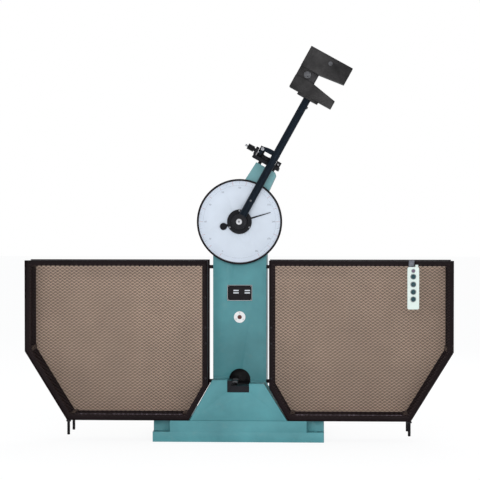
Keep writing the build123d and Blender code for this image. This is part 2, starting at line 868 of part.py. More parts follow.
with BuildPart() as catch_pin:
    with BuildSketch(arm_plane(catch_pin_end_y)):
        with Locations((0, catch_reach)):
            Circle(catch_pin_diameter / 2)
    extrude(amount=catch_pin_end_y - rod_back_y + catch_pin_depth)
    pin_tip = catch_pin.faces().sort_by(Axis.Y)[-1].edges()
    chamfer(pin_tip, length=light_break)
save(catch_pin, "catch_pin")

# Hammer, slotted from its leading side, with a thin web behind the striker
web_middle = strike_radius
throat_near = web_middle - slot_throat_half
throat_far = web_middle + slot_throat_half
hammer_back_y = swing_y + hammer_thickness / 2
with BuildPart() as hammer:
    with BuildSketch(arm_plane(hammer_back_y)):
        with Locations(((hammer_leading - hammer_trailing) / 2, (hammer_near + hammer_far) / 2)):
            RectangleRounded(hammer_leading + hammer_trailing, hammer_far - hammer_near, hammer_corner)
    extrude(amount=hammer_thickness)
    with BuildSketch(arm_plane(hammer_back_y)):
        with BuildLine():
            Polyline(
                (hammer_leading, slot_mouth_near),
                (hammer_leading, slot_mouth_far),
                (slot_throat_v, throat_far),
                (web_edge_v, throat_far),
                (web_edge_v, throat_near),
                (slot_throat_v, throat_near),
                close=True,
            )
        make_face()
    extrude(amount=hammer_thickness, mode=Mode.SUBTRACT)
    recess_depth = (hammer_thickness - web_thickness) / 2
    recess_middle = ((web_edge_v - hammer_trailing) / 2, web_middle)
    for recess_y in (hammer_back_y, swing_y - web_thickness / 2):
        with BuildSketch(arm_plane(recess_y)):
            with Locations(recess_middle):
                Rectangle(hammer_trailing + web_edge_v, 2 * slot_throat_half)
        extrude(amount=recess_depth, mode=Mode.SUBTRACT)
    with BuildSketch(across_arm(hammer_near - boss_height, swing_y)):
        SlotOverall(2 * boss_half_width, boss_thickness)
    extrude(amount=boss_height)
    with BuildSketch(across_arm(hammer_near - boss_height, swing_y)):
        Circle(rod_diameter / 2)
    extrude(amount=rod_seat_depth, mode=Mode.SUBTRACT)
    with BuildSketch(across_arm(throat_near, swing_y)):
        with Locations((web_edge_v - striker_tail_length / 2, 0)):
            Rectangle(striker_tail_length, striker_tail_thickness)
    extrude(amount=2 * slot_throat_half, mode=Mode.SUBTRACT)
    bolt_v = web_edge_v - striker_tail_length / 2
    with BuildSketch(arm_plane(swing_y + web_thickness / 2)):
        with Locations((bolt_v, web_middle)):
            Circle(striker_bolt_diameter / 2)
    extrude(amount=web_thickness, mode=Mode.SUBTRACT)
    with BuildSketch(arm_plane(swing_y - hammer_thickness / 2)):
        with Locations((plug_v, plug_reach)):
            Circle(plug_diameter / 2)
    extrude(amount=-plug_seat_depth, mode=Mode.SUBTRACT)
save(hammer, "hammer")

# Striker, a wedge with a round nose, held by its tail in the web
striker_tip_v = -anvil_plane_x - specimen_side
nose_v = striker_tip_v - striker_tip_radius
half_angle = radians(striker_half_angle)
flank_v = nose_v + striker_tip_radius * sin(half_angle)
flank_y = striker_tip_radius * cos(half_angle)
shoulder_y = flank_y + (flank_v - web_edge_v) * tan(half_angle)
with BuildPart() as striker:
    with BuildSketch(across_arm(throat_near, swing_y)):
        with BuildLine():
            Polyline(
                (flank_v, flank_y),
                (web_edge_v, shoulder_y),
                (web_edge_v, -shoulder_y),
                (flank_v, -flank_y),
            )
            ThreePointArc((flank_v, -flank_y), (striker_tip_v, 0), (flank_v, flank_y))
        make_face()
        with Locations((web_edge_v - striker_tail_length / 2, 0)):
            Rectangle(striker_tail_length, striker_tail_thickness)
    extrude(amount=2 * slot_throat_half)
    with BuildSketch(arm_plane(swing_y + striker_tail_thickness / 2)):
        with Locations((bolt_v, web_middle)):
            Circle(striker_bolt_diameter / 2)
    extrude(amount=striker_tail_thickness, mode=Mode.SUBTRACT)
save(striker, "striker")

with BuildPart() as striker_bolt:
    bolt_back_y = swing_y + web_thickness / 2
    with BuildSketch(arm_plane(bolt_back_y + striker_bolt_head_height)):
        with Locations((bolt_v, web_middle)):
            RegularPolygon(striker_nut_diameter / 2, 6)
    extrude(amount=striker_bolt_head_height)
    with BuildSketch(arm_plane(bolt_back_y)):
        with Locations((bolt_v, web_middle)):
            Circle(striker_bolt_diameter / 2)
    extrude(amount=web_thickness)
    with BuildSketch(arm_plane(swing_y - web_thickness / 2)):
        with Locations((bolt_v, web_middle)):
            Circle(striker_bolt_head_diameter / 2)
    extrude(amount=striker_bolt_head_height)
    head_edge = striker_bolt.faces().sort_by(Axis.Y)[0].edges()
    fillet(head_edge, radius=light_break)
save(striker_bolt, "striker_bolt")

with BuildPart() as pendulum_screws:
    with BuildSketch(arm_plane(driver_tip_y)):
        with Locations((0, driver_reach)):
            Circle(driver_screw_diameter / 2)
    extrude(amount=driver_tip_y - swing_y + rod_diameter / 2)
    with BuildSketch(arm_plane(swing_y - rod_diameter / 2)):
        with Locations((0, driver_reach)):
            Circle(driver_screw_head / 2)
    extrude(amount=driver_screw_head_height)
    with BuildSketch(along_v(rod_diameter / 2 - lock_screw_depth, lock_screw_reach, swing_y)):
        Circle(lock_screw_diameter / 2)
    extrude(amount=lock_screw_height + lock_screw_depth)
    with BuildSketch(arm_plane(swing_y - hammer_thickness / 2 + plug_seat_depth)):
        with Locations((plug_v, plug_reach)):
            Circle(plug_diameter / 2)
    extrude(amount=plug_seat_depth + plug_height)
save(pendulum_screws, "pendulum_screws")

# Release gear: plate on spacers, post, solenoid, hook, box and safety pin
latch_plate_far = latch_plate_near + latch_plate_thickness


def latch_block(start_v, end_v, top_u, front_y, back_y):
    """Draws and raises a block that stands on the release gear's plate."""
    with BuildSketch(arm_plane(back_y)) as outline:
        with Locations(((start_v + end_v) / 2, (latch_plate_far + top_u) / 2)):
            Rectangle(end_v - start_v, top_u - latch_plate_far)
    extrude(outline.sketch, amount=back_y - front_y)


with BuildPart() as latch_plate:
    with BuildSketch(arm_plane(latch_plate_back_y)):
        middle_v = (latch_plate_leading - latch_plate_trailing) / 2
        with Locations((middle_v, (latch_plate_near + latch_plate_far) / 2)):
            Rectangle(latch_plate_leading + latch_plate_trailing, latch_plate_thickness)
    extrude(amount=latch_plate_back_y - latch_front_y)
    chamfer(latch_plate.edges().filter_by(Axis.Y), length=light_break)
save(latch_plate, "latch_plate")

with BuildPart() as latch_spacers:
    with BuildSketch(across_arm(head_top_reach, (latch_plate_back_y + column_front_y) / 2)):
        flat_leading = head_top_leading - head_chamfer
        spacer_span_v = head_top_trailing + flat_leading - 2 * spacer_diameter
        spacer_span_y = latch_plate_back_y - column_front_y - 2 * spacer_diameter
        with Locations(((flat_leading - head_top_trailing) / 2, 0)):
            with GridLocations(spacer_span_v, spacer_span_y, 2, 2):
                Circle(spacer_diameter / 2)
    extrude(amount=latch_plate_near - head_top_reach)
save(latch_spacers, "latch_spacers")

solenoid_y = latch_front_y + hook_thickness / 2
with BuildPart() as latch_post:
    latch_block(post_start_v, post_end_v, post_top, latch_front_y, post_back_y)
    with BuildSketch(along_v(post_start_v, solenoid_u, solenoid_y)):
        Circle(plunger_radius + slide_fit)
    extrude(amount=post_end_v - post_start_v, mode=Mode.SUBTRACT)
    chamfer(latch_post.faces().sort_by(Axis.Z)[-1].edges().filter_by(Axis.Y), length=heavy_break)
save(latch_post, "latch_post")

with BuildPart() as solenoid:
    with BuildSketch(along_v(solenoid_start_v, solenoid_u, solenoid_y)):
        Circle(solenoid_radius)
    extrude(amount=solenoid_end_v - solenoid_start_v)
    rib_pitch = (solenoid_end_v - solenoid_start_v) / (solenoid_ribs + 1)
    for rib in range(1, solenoid_ribs + 1):
        with BuildSketch(along_v(solenoid_start_v + rib * rib_pitch, solenoid_u, solenoid_y)):
            Circle(solenoid_radius)
            Circle(solenoid_radius - solenoid_groove, mode=Mode.SUBTRACT)
        extrude(amount=solenoid_groove, mode=Mode.SUBTRACT)
    with BuildSketch(along_v(solenoid_end_v, solenoid_u, solenoid_y)):
        Circle(solenoid_neck_radius)
    extrude(amount=post_start_v - solenoid_end_v)
    with BuildSketch(along_v(solenoid_start_v, solenoid_u, solenoid_y)):
        Circle(plunger_radius + slide_fit)
    extrude(amount=post_start_v - solenoid_start_v, mode=Mode.SUBTRACT)
save(solenoid, "solenoid")

plunger_end_v = hook_pivot_v - hook_tail_width / 2 - seat_gap
with BuildPart() as release_plunger:
    with BuildSketch(along_v(plunger_start_v, solenoid_u, solenoid_y)):
        Circle(plunger_knob_radius)
    extrude(amount=plunger_knob_length)
    with BuildSketch(along_v(plunger_start_v, solenoid_u, solenoid_y)):
        Circle(plunger_radius)
    extrude(amount=plunger_end_v - plunger_start_v)
    fillet(release_plunger.faces().sort_by(Axis.X)[-1].edges(), radius=plunger_nose_radius)
save(release_plunger, "release_plunger")

catch_top = catch_reach + catch_pin_diameter / 2 + hook_gap
catch_side = catch_pin_diameter / 2 + hook_gap
claw_end_v = catch_side + hook_claw_width
with BuildPart() as release_hook:
    with BuildSketch(arm_plane(latch_front_y + hook_thickness)):
        with BuildLine():
            Polyline(
                (hook_pivot_v, hook_pivot_u + hook_eye_radius),
                (hook_pivot_v, catch_top),
                (catch_side, catch_top),
                (catch_side, hook_claw_foot),
                (claw_end_v, hook_claw_foot),
                (claw_end_v, hook_claw_top),
            )
            crown_v = (hook_pivot_v + claw_end_v) / 2
            arm_start = (hook_pivot_v, hook_pivot_u + hook_eye_radius)
            ThreePointArc((claw_end_v, hook_claw_top), (crown_v, hook_crown), arm_start)
        make_face()
        with Locations((hook_pivot_v, hook_pivot_u)):
            Circle(hook_eye_radius)
        with Locations((hook_pivot_v, hook_pivot_u - hook_tail_reach / 2)):
            Rectangle(hook_tail_width, hook_tail_reach)
        with Locations((hook_pivot_v, hook_pivot_u)):
            Circle(hook_pivot_diameter / 2 + running_fit, mode=Mode.SUBTRACT)
    extrude(amount=hook_thickness)
save(release_hook, "release_hook")

with BuildPart() as pivot_bracket:
    latch_block(bracket_start_v, bracket_end_v, bracket_top, bracket_front_y, bracket_back_y)
    with BuildSketch(arm_plane(bracket_back_y)):
        with Locations((hook_pivot_v, hook_pivot_u)):
            Circle(hook_pivot_diameter / 2)
    extrude(amount=bracket_back_y - bracket_front_y, mode=Mode.SUBTRACT)
save(pivot_bracket, "pivot_bracket")

with BuildPart() as hook_pivot_pin:
    with BuildSketch(arm_plane(bracket_back_y)):
        with Locations((hook_pivot_v, hook_pivot_u)):
            Circle(hook_pivot_diameter / 2)
    extrude(amount=bracket_back_y - latch_front_y + seat_gap)
    with BuildSketch(arm_plane(latch_front_y - seat_gap)):
        with Locations((hook_pivot_v, hook_pivot_u)):
            Circle(hook_pivot_head / 2)
    extrude(amount=hook_pivot_head_height)
save(hook_pivot_pin, "hook_pivot_pin")

# Torsion spring round the pivot pin, between the hook and its bracket
spring_room = bracket_front_y - latch_front_y - hook_thickness
spring_length = spring_room - spring_wire - 2 * seat_gap
spring_front_y = bracket_front_y - seat_gap - spring_wire / 2 - spring_length
spring_middle = Vector(0, spring_front_y, shaft_height)
spring_middle += along_arm * hook_pivot_u + along_swing * hook_pivot_v
with BuildPart() as hook_spring:
    with BuildLine() as coil:
        Helix(spring_pitch, spring_length, spring_radius, center=spring_middle, direction=(0, 1, 0))
    with BuildSketch(Plane(origin=coil.line @ 0, z_dir=coil.line % 0)):
        Circle(spring_wire / 2)
    sweep(is_frenet=True)
save(hook_spring, "hook_spring")

with BuildPart() as latch_box:
    latch_block(latch_box_start_v, latch_box_end_v, latch_box_top, latch_box_front_y, latch_box_back_y)
    fillet(latch_box.edges().filter_by(Axis.Y), radius=heavy_break)
save(latch_box, "latch_box")

with BuildPart() as safety_block:
    block_sides = (safety_block_start_v, safety_block_end_v)
    latch_block(*block_sides, safety_block_top, safety_block_front_y, safety_block_back_y)
    with BuildSketch(arm_plane(safety_block_back_y)):
        with Locations((safety_pin_v, safety_pin_u)):
            Circle(safety_pin_diameter / 2 + running_fit)
    extrude(amount=safety_block_back_y - safety_block_front_y, mode=Mode.SUBTRACT)
save(safety_block, "safety_block")

with BuildPart() as safety_pin:
    with BuildSketch(arm_plane(safety_pin_back_y)):
        with Locations((safety_pin_v, safety_pin_u)):
            Circle(safety_pin_diameter / 2)
    extrude(amount=safety_pin_back_y - safety_pin_front_y)
    with BuildSketch(arm_plane(safety_pin_back_y + safety_knob_length)):
        with Locations((safety_pin_v, safety_pin_u)):
            Circle(safety_knob_diameter / 2)
    extrude(amount=safety_knob_length)
    chamfer(safety_pin.faces().sort_by(Axis.Y)[0].edges(), length=medium_break)
save(safety_pin, "safety_pin")

# Guards: two angle frames joined by bars, with expanded mesh and a bottom tray
front_plate_y = guard_front_y + angle_leg
rear_plate_y = guard_back_y - angle_leg
guard_gap = rear_plate_y - front_plate_y


def guard_outline(side):
    """Outline of a guard as the viewer sees it, on the side given by 1 or -1."""
    return [
        (side * guard_inner_x, guard_corner_z),
        (side * guard_foot_inner_x, base_height),
        (side * guard_foot_outer_x, base_height),
        (side * guard_outer_x, guard_slope_z),
        (side * guard_outer_x, guard_top_z),
        (side * guard_inner_x, guard_top_z),
    ]


def guard_sketch(side, y, inset):
    """Draws a guard's outline, moved inwards, on the plane at depth y."""
    with BuildSketch(front_plane(y)) as shape:
        with BuildLine():
            Polyline(guard_outline(side), close=True)
        make_face()
        if inset:
            offset(amount=-inset, kind=Kind.INTERSECTION, mode=Mode.REPLACE)
    return shape.sketch


def make_guard_frame(side, name):
    """Front and rear angle frames, with square bars between their corners."""
    struts = [
        (guard_foot_outer_x - strut_side, base_height + strut_side),
        (guard_outer_x - strut_side, guard_slope_z + strut_side / 2),
        (guard_outer_x - strut_side, guard_top_z - strut_side),
        (guard_foot_inner_x + strut_side, base_height + strut_side),
    ]
    with BuildPart() as frame:
        for wall_y, plate_y in ((front_plate_y, front_plate_y), (guard_back_y, rear_plate_y + angle_wall)):
            outer = guard_sketch(side, wall_y, 0)
            inner = guard_sketch(side, wall_y, angle_wall)
            extrude(outer - inner, amount=angle_leg)
            window = guard_sketch(side, plate_y, angle_leg)
            plate = guard_sketch(side, plate_y, 0)
            extrude(plate - window, amount=angle_wall)
        with BuildSketch(front_plane(rear_plate_y)):
            with Locations(*[(side * x, z) for x, z in struts]):
                Rectangle(strut_side, strut_side)
        extrude(amount=guard_gap)
    save(frame, name)


def diamonds(width, height, columns, rows):
    """Draws the staggered diamond holes of an expanded mesh, centred on the plane."""
    hole_width, hole_height = width - mesh_strand, height - mesh_strand
    with BuildLine() as hole:
        Polyline(
            (-hole_width / 2, 0),
            (0, -hole_height / 2),
            (hole_width / 2, 0),
            (0, hole_height / 2),
            close=True,
        )
    for shift in (0, 0.5):
        with Locations((shift * width, shift * height)):
            with GridLocations(width, height, columns, rows):
                add(make_face(hole.edges(), mode=Mode.PRIVATE))


def make_guard_mesh(side, name):
    """Mesh on the front, end and slope of a guard, its plain back sheet, and the tray along its foot."""
    panel_middle = side * (guard_inner_x + guard_outer_x) / 2
    panel_height = (base_height + guard_top_z) / 2
    with BuildPart() as mesh:
        mesh_y = front_plate_y - angle_wall
        border = guard_sketch(side, mesh_y, mesh_inset)
        window = guard_sketch(side, mesh_y, mesh_inset + mesh_border)
        with BuildSketch(front_plane(mesh_y), mode=Mode.PRIVATE) as holes:
            with Locations((panel_middle, panel_height)):
                diamonds(mesh_pitch_x, mesh_pitch_z, 6, 8)
        extrude(border - (holes.sketch & window), amount=mesh_thickness)
        sheet_y = rear_plate_y + angle_wall + mesh_thickness
        extrude(guard_sketch(side, sheet_y, mesh_inset), amount=mesh_thickness)
        foot = Vector(side * guard_foot_outer_x, 0, base_height)
        knee = Vector(side * guard_outer_x, 0, guard_slope_z)
        shoulder = Vector(side * guard_outer_x, 0, guard_top_z)
        for start, end in ((foot, knee), (knee, shoulder)):
            run = end - start
            inward = run.normalized().cross(Vector(0, side, 0))
            if inward.X * side > 0:
                inward = inward * -1
            middle = (start + end) * 0.5 + inward * angle_wall
            middle += Vector(0, (front_plate_y + rear_plate_y) / 2, 0)
            panel_length = run.length - 2 * angle_leg
            with BuildSketch(Plane(origin=middle, x_dir=(0, 1, 0), z_dir=inward)):
                Rectangle(guard_gap, panel_length)
                with BuildSketch(mode=Mode.SUBTRACT):
                    diamonds(mesh_pitch_z, mesh_pitch_x, 3, 4)
                    inner_size = (guard_gap - 2 * mesh_border, panel_length - 2 * mesh_border)
                    Rectangle(*inner_size, mode=Mode.INTERSECT)
            extrude(amount=mesh_thickness)
        tray_length = guard_foot_outer_x - guard_foot_inner_x
        tray_middle = side * (guard_foot_outer_x + guard_foot_inner_x) / 2
        with BuildSketch(Plane.XY.offset(base_height)):
            with Locations((tray_middle, (front_plate_y + rear_plate_y) / 2)):
                Rectangle(tray_length - 2 * angle_wall, guard_gap)
        extrude(amount=tray_thickness)
    save(mesh, name)


make_guard_frame(-1, "guard_frame_left")
make_guard_frame(1, "guard_frame_right")
make_guard_mesh(-1, "guard_mesh_left")
make_guard_mesh(1, "guard_mesh_right")

leg_rows = (guard_front_y + angle_leg / 2, guard_back_y - angle_leg / 2)
with BuildPart() as guard_legs:
    leg_points = [(side * leg_x, y) for side in (-1, 1) for y in leg_rows]
    with BuildSketch(Plane.XY.offset(leg_foot_z)):
        with Locations(*leg_points):
            Circle(leg_diameter / 2)
    extrude(amount=base_height - leg_foot_z)
    with BuildSketch(Plane.XY.offset(base_height - leg_nut_height)):
        with Locations(*leg_points):
            RegularPolygon(leg_nut_diameter / 2, 6)
    extrude(amount=leg_nut_height)
save(guard_legs, "guard_legs")

with BuildPart() as guard_bolts:
    bolt_x = guard_inner_x + (angle_wall + mesh_inset) / 2
    bolt_points = [(side * bolt_x, z) for side in (-1, 1) for z in guard_bolt_heights]
    with BuildSketch(front_plane(front_plate_y - angle_wall)):
        with Locations(*bolt_points):
            Circle(guard_bolt_head / 2)
    extrude(amount=guard_bolt_height)
save(guard_bolts, "guard_bolts")

with BuildPart() as guard_lugs:
    lug_x = (column_width / 2 + guard_inner_x) / 2
    lug_points = [(side * lug_x, z) for side in (-1, 1) for z in lug_heights]
    with BuildSketch(front_plane(guard_back_y)):
        with Locations(*lug_points):
            Rectangle(guard_inner_x - column_width / 2, lug_height)
    extrude(amount=lug_depth)
save(guard_lugs, "guard_lugs")

# Hand control: case with button wells, buttons, lamp and hanging strip
pendant_middle_z = pendant_foot_z + pendant_height / 2
with BuildPart() as pendant_case:
    with BuildSketch(front_plane(pendant_front_y + pendant_depth)):
        with Locations((pendant_x, pendant_middle_z)):
            RectangleRounded(pendant_width, pendant_height, pendant_corner)
    extrude(amount=pendant_depth)
    fillet(pendant_case.faces().sort_by(Axis.Y)[0].edges(), radius=pendant_edge)
    with BuildSketch(front_plane(pendant_front_y)):
        with Locations(*[(pendant_x, z) for z in button_heights]):
            Circle(button_radius + slide_fit)
    extrude(amount=-button_seat_depth, mode=Mode.SUBTRACT)
    gland_y = pendant_front_y + pendant_depth / 2
    with BuildSketch(Plane.XY.offset(pendant_foot_z + pendant_height - pendant_edge)):
        with Locations((pendant_x + gland_offset, gland_y)):
            Circle(gland_radius)
    extrude(amount=gland_length)
save(pendant_case, "pendant_case")

for number, height in enumerate(button_heights, start=1):
    with BuildPart() as pendant_button:
        with BuildSketch(front_plane(pendant_front_y + button_seat_depth - button_travel - slide_fit)):
            with Locations((pendant_x, height)):
                Circle(button_radius)
        button_length = button_cap_height + button_seat_depth - button_travel - slide_fit
        extrude(amount=button_length)
        fillet(pendant_button.faces().sort_by(Axis.Y)[0].edges(), radius=1)
    save(pendant_button, f"pendant_button_{number}")

with BuildPart() as pendant_lamp:
    with BuildSketch(front_plane(pendant_front_y)):
        with Locations((pendant_x, lamp_height)):
            Circle(lamp_radius)
    extrude(amount=lamp_proud)
    fillet(pendant_lamp.faces().sort_by(Axis.Y)[0].edges(), radius=2)
save(pendant_lamp, "pendant_lamp")

strip_y = pendant_front_y + pendant_depth / 2
strip_start_x = pendant_x + strip_offset - hook_strip_width / 2
case_top = pendant_foot_z + pendant_height
bar_foot = guard_top_z - angle_wall
with BuildPart() as pendant_strip:
    with BuildSketch(Plane.YZ.offset(strip_start_x)):
        with BuildLine():
            Polyline(
                (strip_y, case_top),
                (strip_y, bar_foot - hook_strip_thickness),
                (guard_front_y - hook_strip_thickness, bar_foot - hook_strip_thickness),
                (guard_front_y - hook_strip_thickness, guard_top_z + hook_strip_thickness),
                (strip_y, guard_top_z + hook_strip_thickness),
                (strip_y, guard_top_z),
                (guard_front_y, guard_top_z),
                (guard_front_y, bar_foot),
                (strip_y + hook_strip_thickness, bar_foot),
                (strip_y + hook_strip_thickness, case_top),
                close=True,
            )
        make_face()
    extrude(amount=hook_strip_width)
save(pendant_strip, "pendant_strip")
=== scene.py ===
"""Dresses the pendulum impact tester over its CAD frame.

It adds the finishes, the fasteners, the dial's marks and the guards' mesh.
"""

import json
import math
from contextlib import contextmanager

import bpy
from mathutils import Matrix, Vector


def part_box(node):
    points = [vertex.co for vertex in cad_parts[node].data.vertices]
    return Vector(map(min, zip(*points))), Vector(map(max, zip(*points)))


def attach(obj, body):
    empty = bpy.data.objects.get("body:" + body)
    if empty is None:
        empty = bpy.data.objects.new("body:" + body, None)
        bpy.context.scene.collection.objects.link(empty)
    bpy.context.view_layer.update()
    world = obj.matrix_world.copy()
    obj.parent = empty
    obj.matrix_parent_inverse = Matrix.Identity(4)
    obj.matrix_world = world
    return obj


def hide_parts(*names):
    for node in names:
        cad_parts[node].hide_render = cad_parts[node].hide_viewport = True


bl_info = {
    "name": "Pendulum impact tester",
    "version": (1, 0, 0),
    "blender": (4, 5, 0),
    "location": "View3D > Sidebar > Impact tester",
    "description": "Builds the finished pendulum impact tester over its CAD frame",
    "category": "Add Mesh",
}

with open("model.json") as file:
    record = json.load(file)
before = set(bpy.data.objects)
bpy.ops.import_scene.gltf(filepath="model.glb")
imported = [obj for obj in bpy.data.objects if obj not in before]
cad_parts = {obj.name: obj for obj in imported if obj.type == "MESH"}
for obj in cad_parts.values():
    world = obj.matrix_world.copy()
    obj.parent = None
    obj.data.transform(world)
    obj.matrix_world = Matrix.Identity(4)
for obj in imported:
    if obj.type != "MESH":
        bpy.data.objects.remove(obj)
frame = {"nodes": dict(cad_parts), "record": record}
nodes = frame["nodes"]
body_of = {
    node: body
    for body, members in frame["record"]["behaviour"]["bodies"].items()
    for node in members
}
slot_of = {part["node"]: part["material_slot"] for part in frame["record"]["subparts"]}

# The raised arm leans this far from straight up; v runs along the swing and u along the arm.
LEAN = math.radians(29)
ALONG_ARM = Vector((math.sin(LEAN), 0, math.cos(LEAN)))
ALONG_SWING = Vector((math.cos(LEAN), 0, -math.sin(LEAN)))
SHAFT = Vector((0, 0, 1.014))
FRONT = Vector((0, -1, 0))
UP = (0, 0, 1)

# The right guard's six corners, from the shaft outwards, in X and Z, and the box round them.
GUARD_OUTLINE = [(0.142, 0.250), (0.230, 0.098), (0.792, 0.098), (0.988, 0.416),
                 (0.988, 0.836), (0.142, 0.836)]
GUARD_INNER, GUARD_FOOT, GUARD_WIDTH, GUARD_HEIGHT = 0.142, 0.098, 0.846, 0.738

# The guards' sheets: their places in Y, and the room they leave inside the frames.
FRONT_MESH, END_MESH, BACK_SHEET = -0.277, -0.198, -0.119
MESH_INSET = 0.016
END_WIDTH, END_GAP = 0.150, 0.013

# The dial: its face in Y, its scale's sweep and outer end, and how far the print stands up.
DIAL_FACE = -0.151
SCALE_SWEEP = math.radians(300)
SCALE_REACH = 0.190
PRINT = 0.00012
RIM_WIDTH, DARK_RING_WIDTH = 0.0065, 0.0028

# The niche behind the anvils: half its width in X, its foot and its top in Z.
NICHE_HALF, NICHE_FOOT, NICHE_TOP = 0.0505, 0.2, 0.3242

# Each lamp's name, place, aim, size and power.
LAMPS = (
    ("key_lamp", (-0.8, -6.5, 1.7), (0, -0.1, 0.9), 3.4, 165),
    ("fill_lamp", (2.0, -6.0, 1.5), (0.1, -0.1, 0.9), 3.4, 72),
    ("back_lamp", (0.8, 3.0, 3.4), (0, 0, 1.0), 2.4, 34),
)
CAMERA_PLACE, CAMERA_AIM = (0.339, -8.18, 1.079), (0.0037, -0.18, 0.929)
CAMERA_LENS = 128.8


def on_arm(v, u, y):
    """A point of the raised pendulum or its release gear."""
    return SHAFT + ALONG_SWING * v + ALONG_ARM * u + Vector((0, y, 0))


# Choosing and finishing pieces


def clear_choice():
    """Leaves nothing selected and every object in object mode."""
    if bpy.context.object and bpy.context.object.mode != "OBJECT":
        bpy.ops.object.mode_set(mode="OBJECT")
    bpy.ops.object.select_all(action="DESELECT")


def choose(piece):
    """Makes one piece the only one selected and the active one."""
    clear_choice()
    piece.select_set(True)
    bpy.context.view_layer.objects.active = piece
    return piece


@contextmanager
def editing(piece):
    """Edit mode on one piece, with all of it selected at first."""
    choose(piece)
    bpy.ops.object.mode_set(mode="EDIT")
    bpy.ops.mesh.select_all(action="SELECT")
    yield
    bpy.ops.object.mode_set(mode="OBJECT")


def join(pieces):
    """Joins several meshes into one piece."""
    choose(pieces[0])
    for piece in pieces:
        piece.select_set(True)
    if len(pieces) > 1:
        bpy.ops.object.join()
    return bpy.context.object


def settle(piece):
    """Puts a piece's place and turn into its mesh."""
    choose(piece)
    bpy.ops.object.transform_apply(location=True, rotation=True, scale=True)
    return piece


def carry_out(piece, kind, **settings):
    """Adds one modifier to a piece and applies it."""
    choose(piece)
    modifier = piece.modifiers.new(kind.title(), kind)
    for setting, value in settings.items():
        setattr(modifier, setting, value)
    bpy.ops.object.modifier_apply(modifier=modifier.name)
    return piece


def smooth(piece, degrees=32):
    """Shades a piece smooth across its gentle angles."""
    choose(piece)
    bpy.ops.object.shade_smooth_by_angle(angle=math.radians(degrees))
    return piece


def pick(piece, chosen):
    """Opens a piece in edit mode with only the faces that pass a test selected."""
    choose(piece)
    for face in piece.data.polygons:
        face.select = bool(chosen(face))
    for edge in piece.data.edges:
        edge.select = False
    for corner in piece.data.vertices:
        corner.select = False
    for face in piece.data.polygons:
        if face.select:
            for corner in face.vertices:
                piece.data.vertices[corner].select = True
    # Set before edit mode starts, or faces between the chosen corners are chosen as well.
    bpy.context.tool_settings.mesh_select_mode = (False, False, True)
    bpy.ops.object.mode_set(mode="EDIT")


def finish(piece, name, body, slot, skin=None, stands_for=()):
    """Names a piece, gives it its slot's finish or another, and sets it to move with its body."""
    piece.name = name
    piece.data.name = name
    piece.data.materials.clear()
    piece.data.materials.append(finishes[skin or slot])
    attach(piece, body)
    if stands_for:
        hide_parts(*stands_for)


def fit(pieces, name, slot, skin=None, stands_for=(), body="frame"):
    """Joins pieces and finishes them as one, on the frame unless another body is given."""
    finish(join(pieces), name, body, slot, skin, stands_for)


def clean_copy(node, whole_faces=True):
    """A merged copy of a CAD node.

    whole_faces drops the edges within its flat faces, which must not be rings.
    """
    clear_choice()
    piece = nodes[node].copy()
    piece.data = nodes[node].data.copy()
    piece.parent = None
    for key in list(piece.keys()):
        if key.startswith("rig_"):
            del piece[key]
    bpy.context.collection.objects.link(piece)
    with editing(piece):
        bpy.ops.mesh.remove_doubles(threshold=0.000005)
        if whole_faces:
            bpy.ops.mesh.dissolve_limited(angle_limit=math.radians(0.4))
    return piece


def soften(node, width, segments=2, whole_faces=True, skin=None):
    """Stands in for a CAD node with its sharp edges rounded over."""
    piece = clean_copy(node, whole_faces)
    carry_out(
        piece, "BEVEL", width=width, segments=segments, limit_method="ANGLE",
        angle_limit=math.radians(38), use_clamp_overlap=True, harden_normals=False,
        miter_outer="MITER_ARC")
    carry_out(piece, "WEIGHTED_NORMAL", keep_sharp=False, weight=60)
    smooth(piece)
    finish(piece, node + "_dressed", body_of[node], slot_of[node], skin, (node,))


def islands(node):
    """The lowest and the highest corner of each separate solid in a CAD node."""
    with editing(clean_copy(node)):
        bpy.ops.mesh.separate(type="LOOSE")
    found = []
    for part in list(bpy.context.selected_objects):
        corners = [corner.co for corner in part.data.vertices]
        low = Vector([min(c[i] for c in corners) for i in range(3)])
        high = Vector([max(c[i] for c in corners) for i in range(3)])
        found.append((low, high))
        bpy.data.objects.remove(part)
    return sorted(found, key=lambda pair: tuple(pair[0]))


# Starting shapes


def facing(direction):
    """A turn that takes the Z axis to a direction."""
    return Vector(direction).normalized().to_track_quat("Z", "Y").to_matrix().to_4x4()


def turned(profile, centre, direction, sides=32, spin=0.0):
    """A turned part: a disc drawn up through each (radius, height) of its profile."""
    clear_choice()
    radius, height = profile[0]
    bpy.ops.mesh.primitive_circle_add(vertices=sides, radius=radius, fill_type="NGON")
    piece = bpy.context.object
    with editing(piece):
        for next_radius, next_height in profile[1:]:
            bpy.ops.mesh.extrude_region_move(
                TRANSFORM_OT_translate={"value": (0, 0, next_height - height)})
            if next_radius != radius:
                ratio = next_radius / radius
                bpy.ops.transform.resize(
                    value=(ratio, ratio, 1), center_override=(0, 0, next_height - profile[0][1]))
            radius, height = next_radius, next_height
        bpy.ops.mesh.select_all(action="SELECT")
        bpy.ops.mesh.normals_make_consistent(inside=False)
    piece.data.transform(
        Matrix.Translation(Vector(centre)) @ facing(direction) @ Matrix.Rotation(spin, 4, "Z")
        @ Matrix.Translation((0, 0, profile[0][1])))
    return piece


def block(low, high, edge=0.0):
    """A box between two corners, with its edges bevelled if an edge is given."""
    clear_choice()
    middle = [(a + b) / 2 for a, b in zip(low, high)]
    bpy.ops.mesh.primitive_cube_add(size=1, location=middle)
    piece = bpy.context.object
    piece.scale = [b - a for a, b in zip(low, high)]
    settle(piece)
    if edge:
        with editing(piece):
            bpy.ops.mesh.bevel(offset=edge, segments=1, affect="EDGES")
    return piece


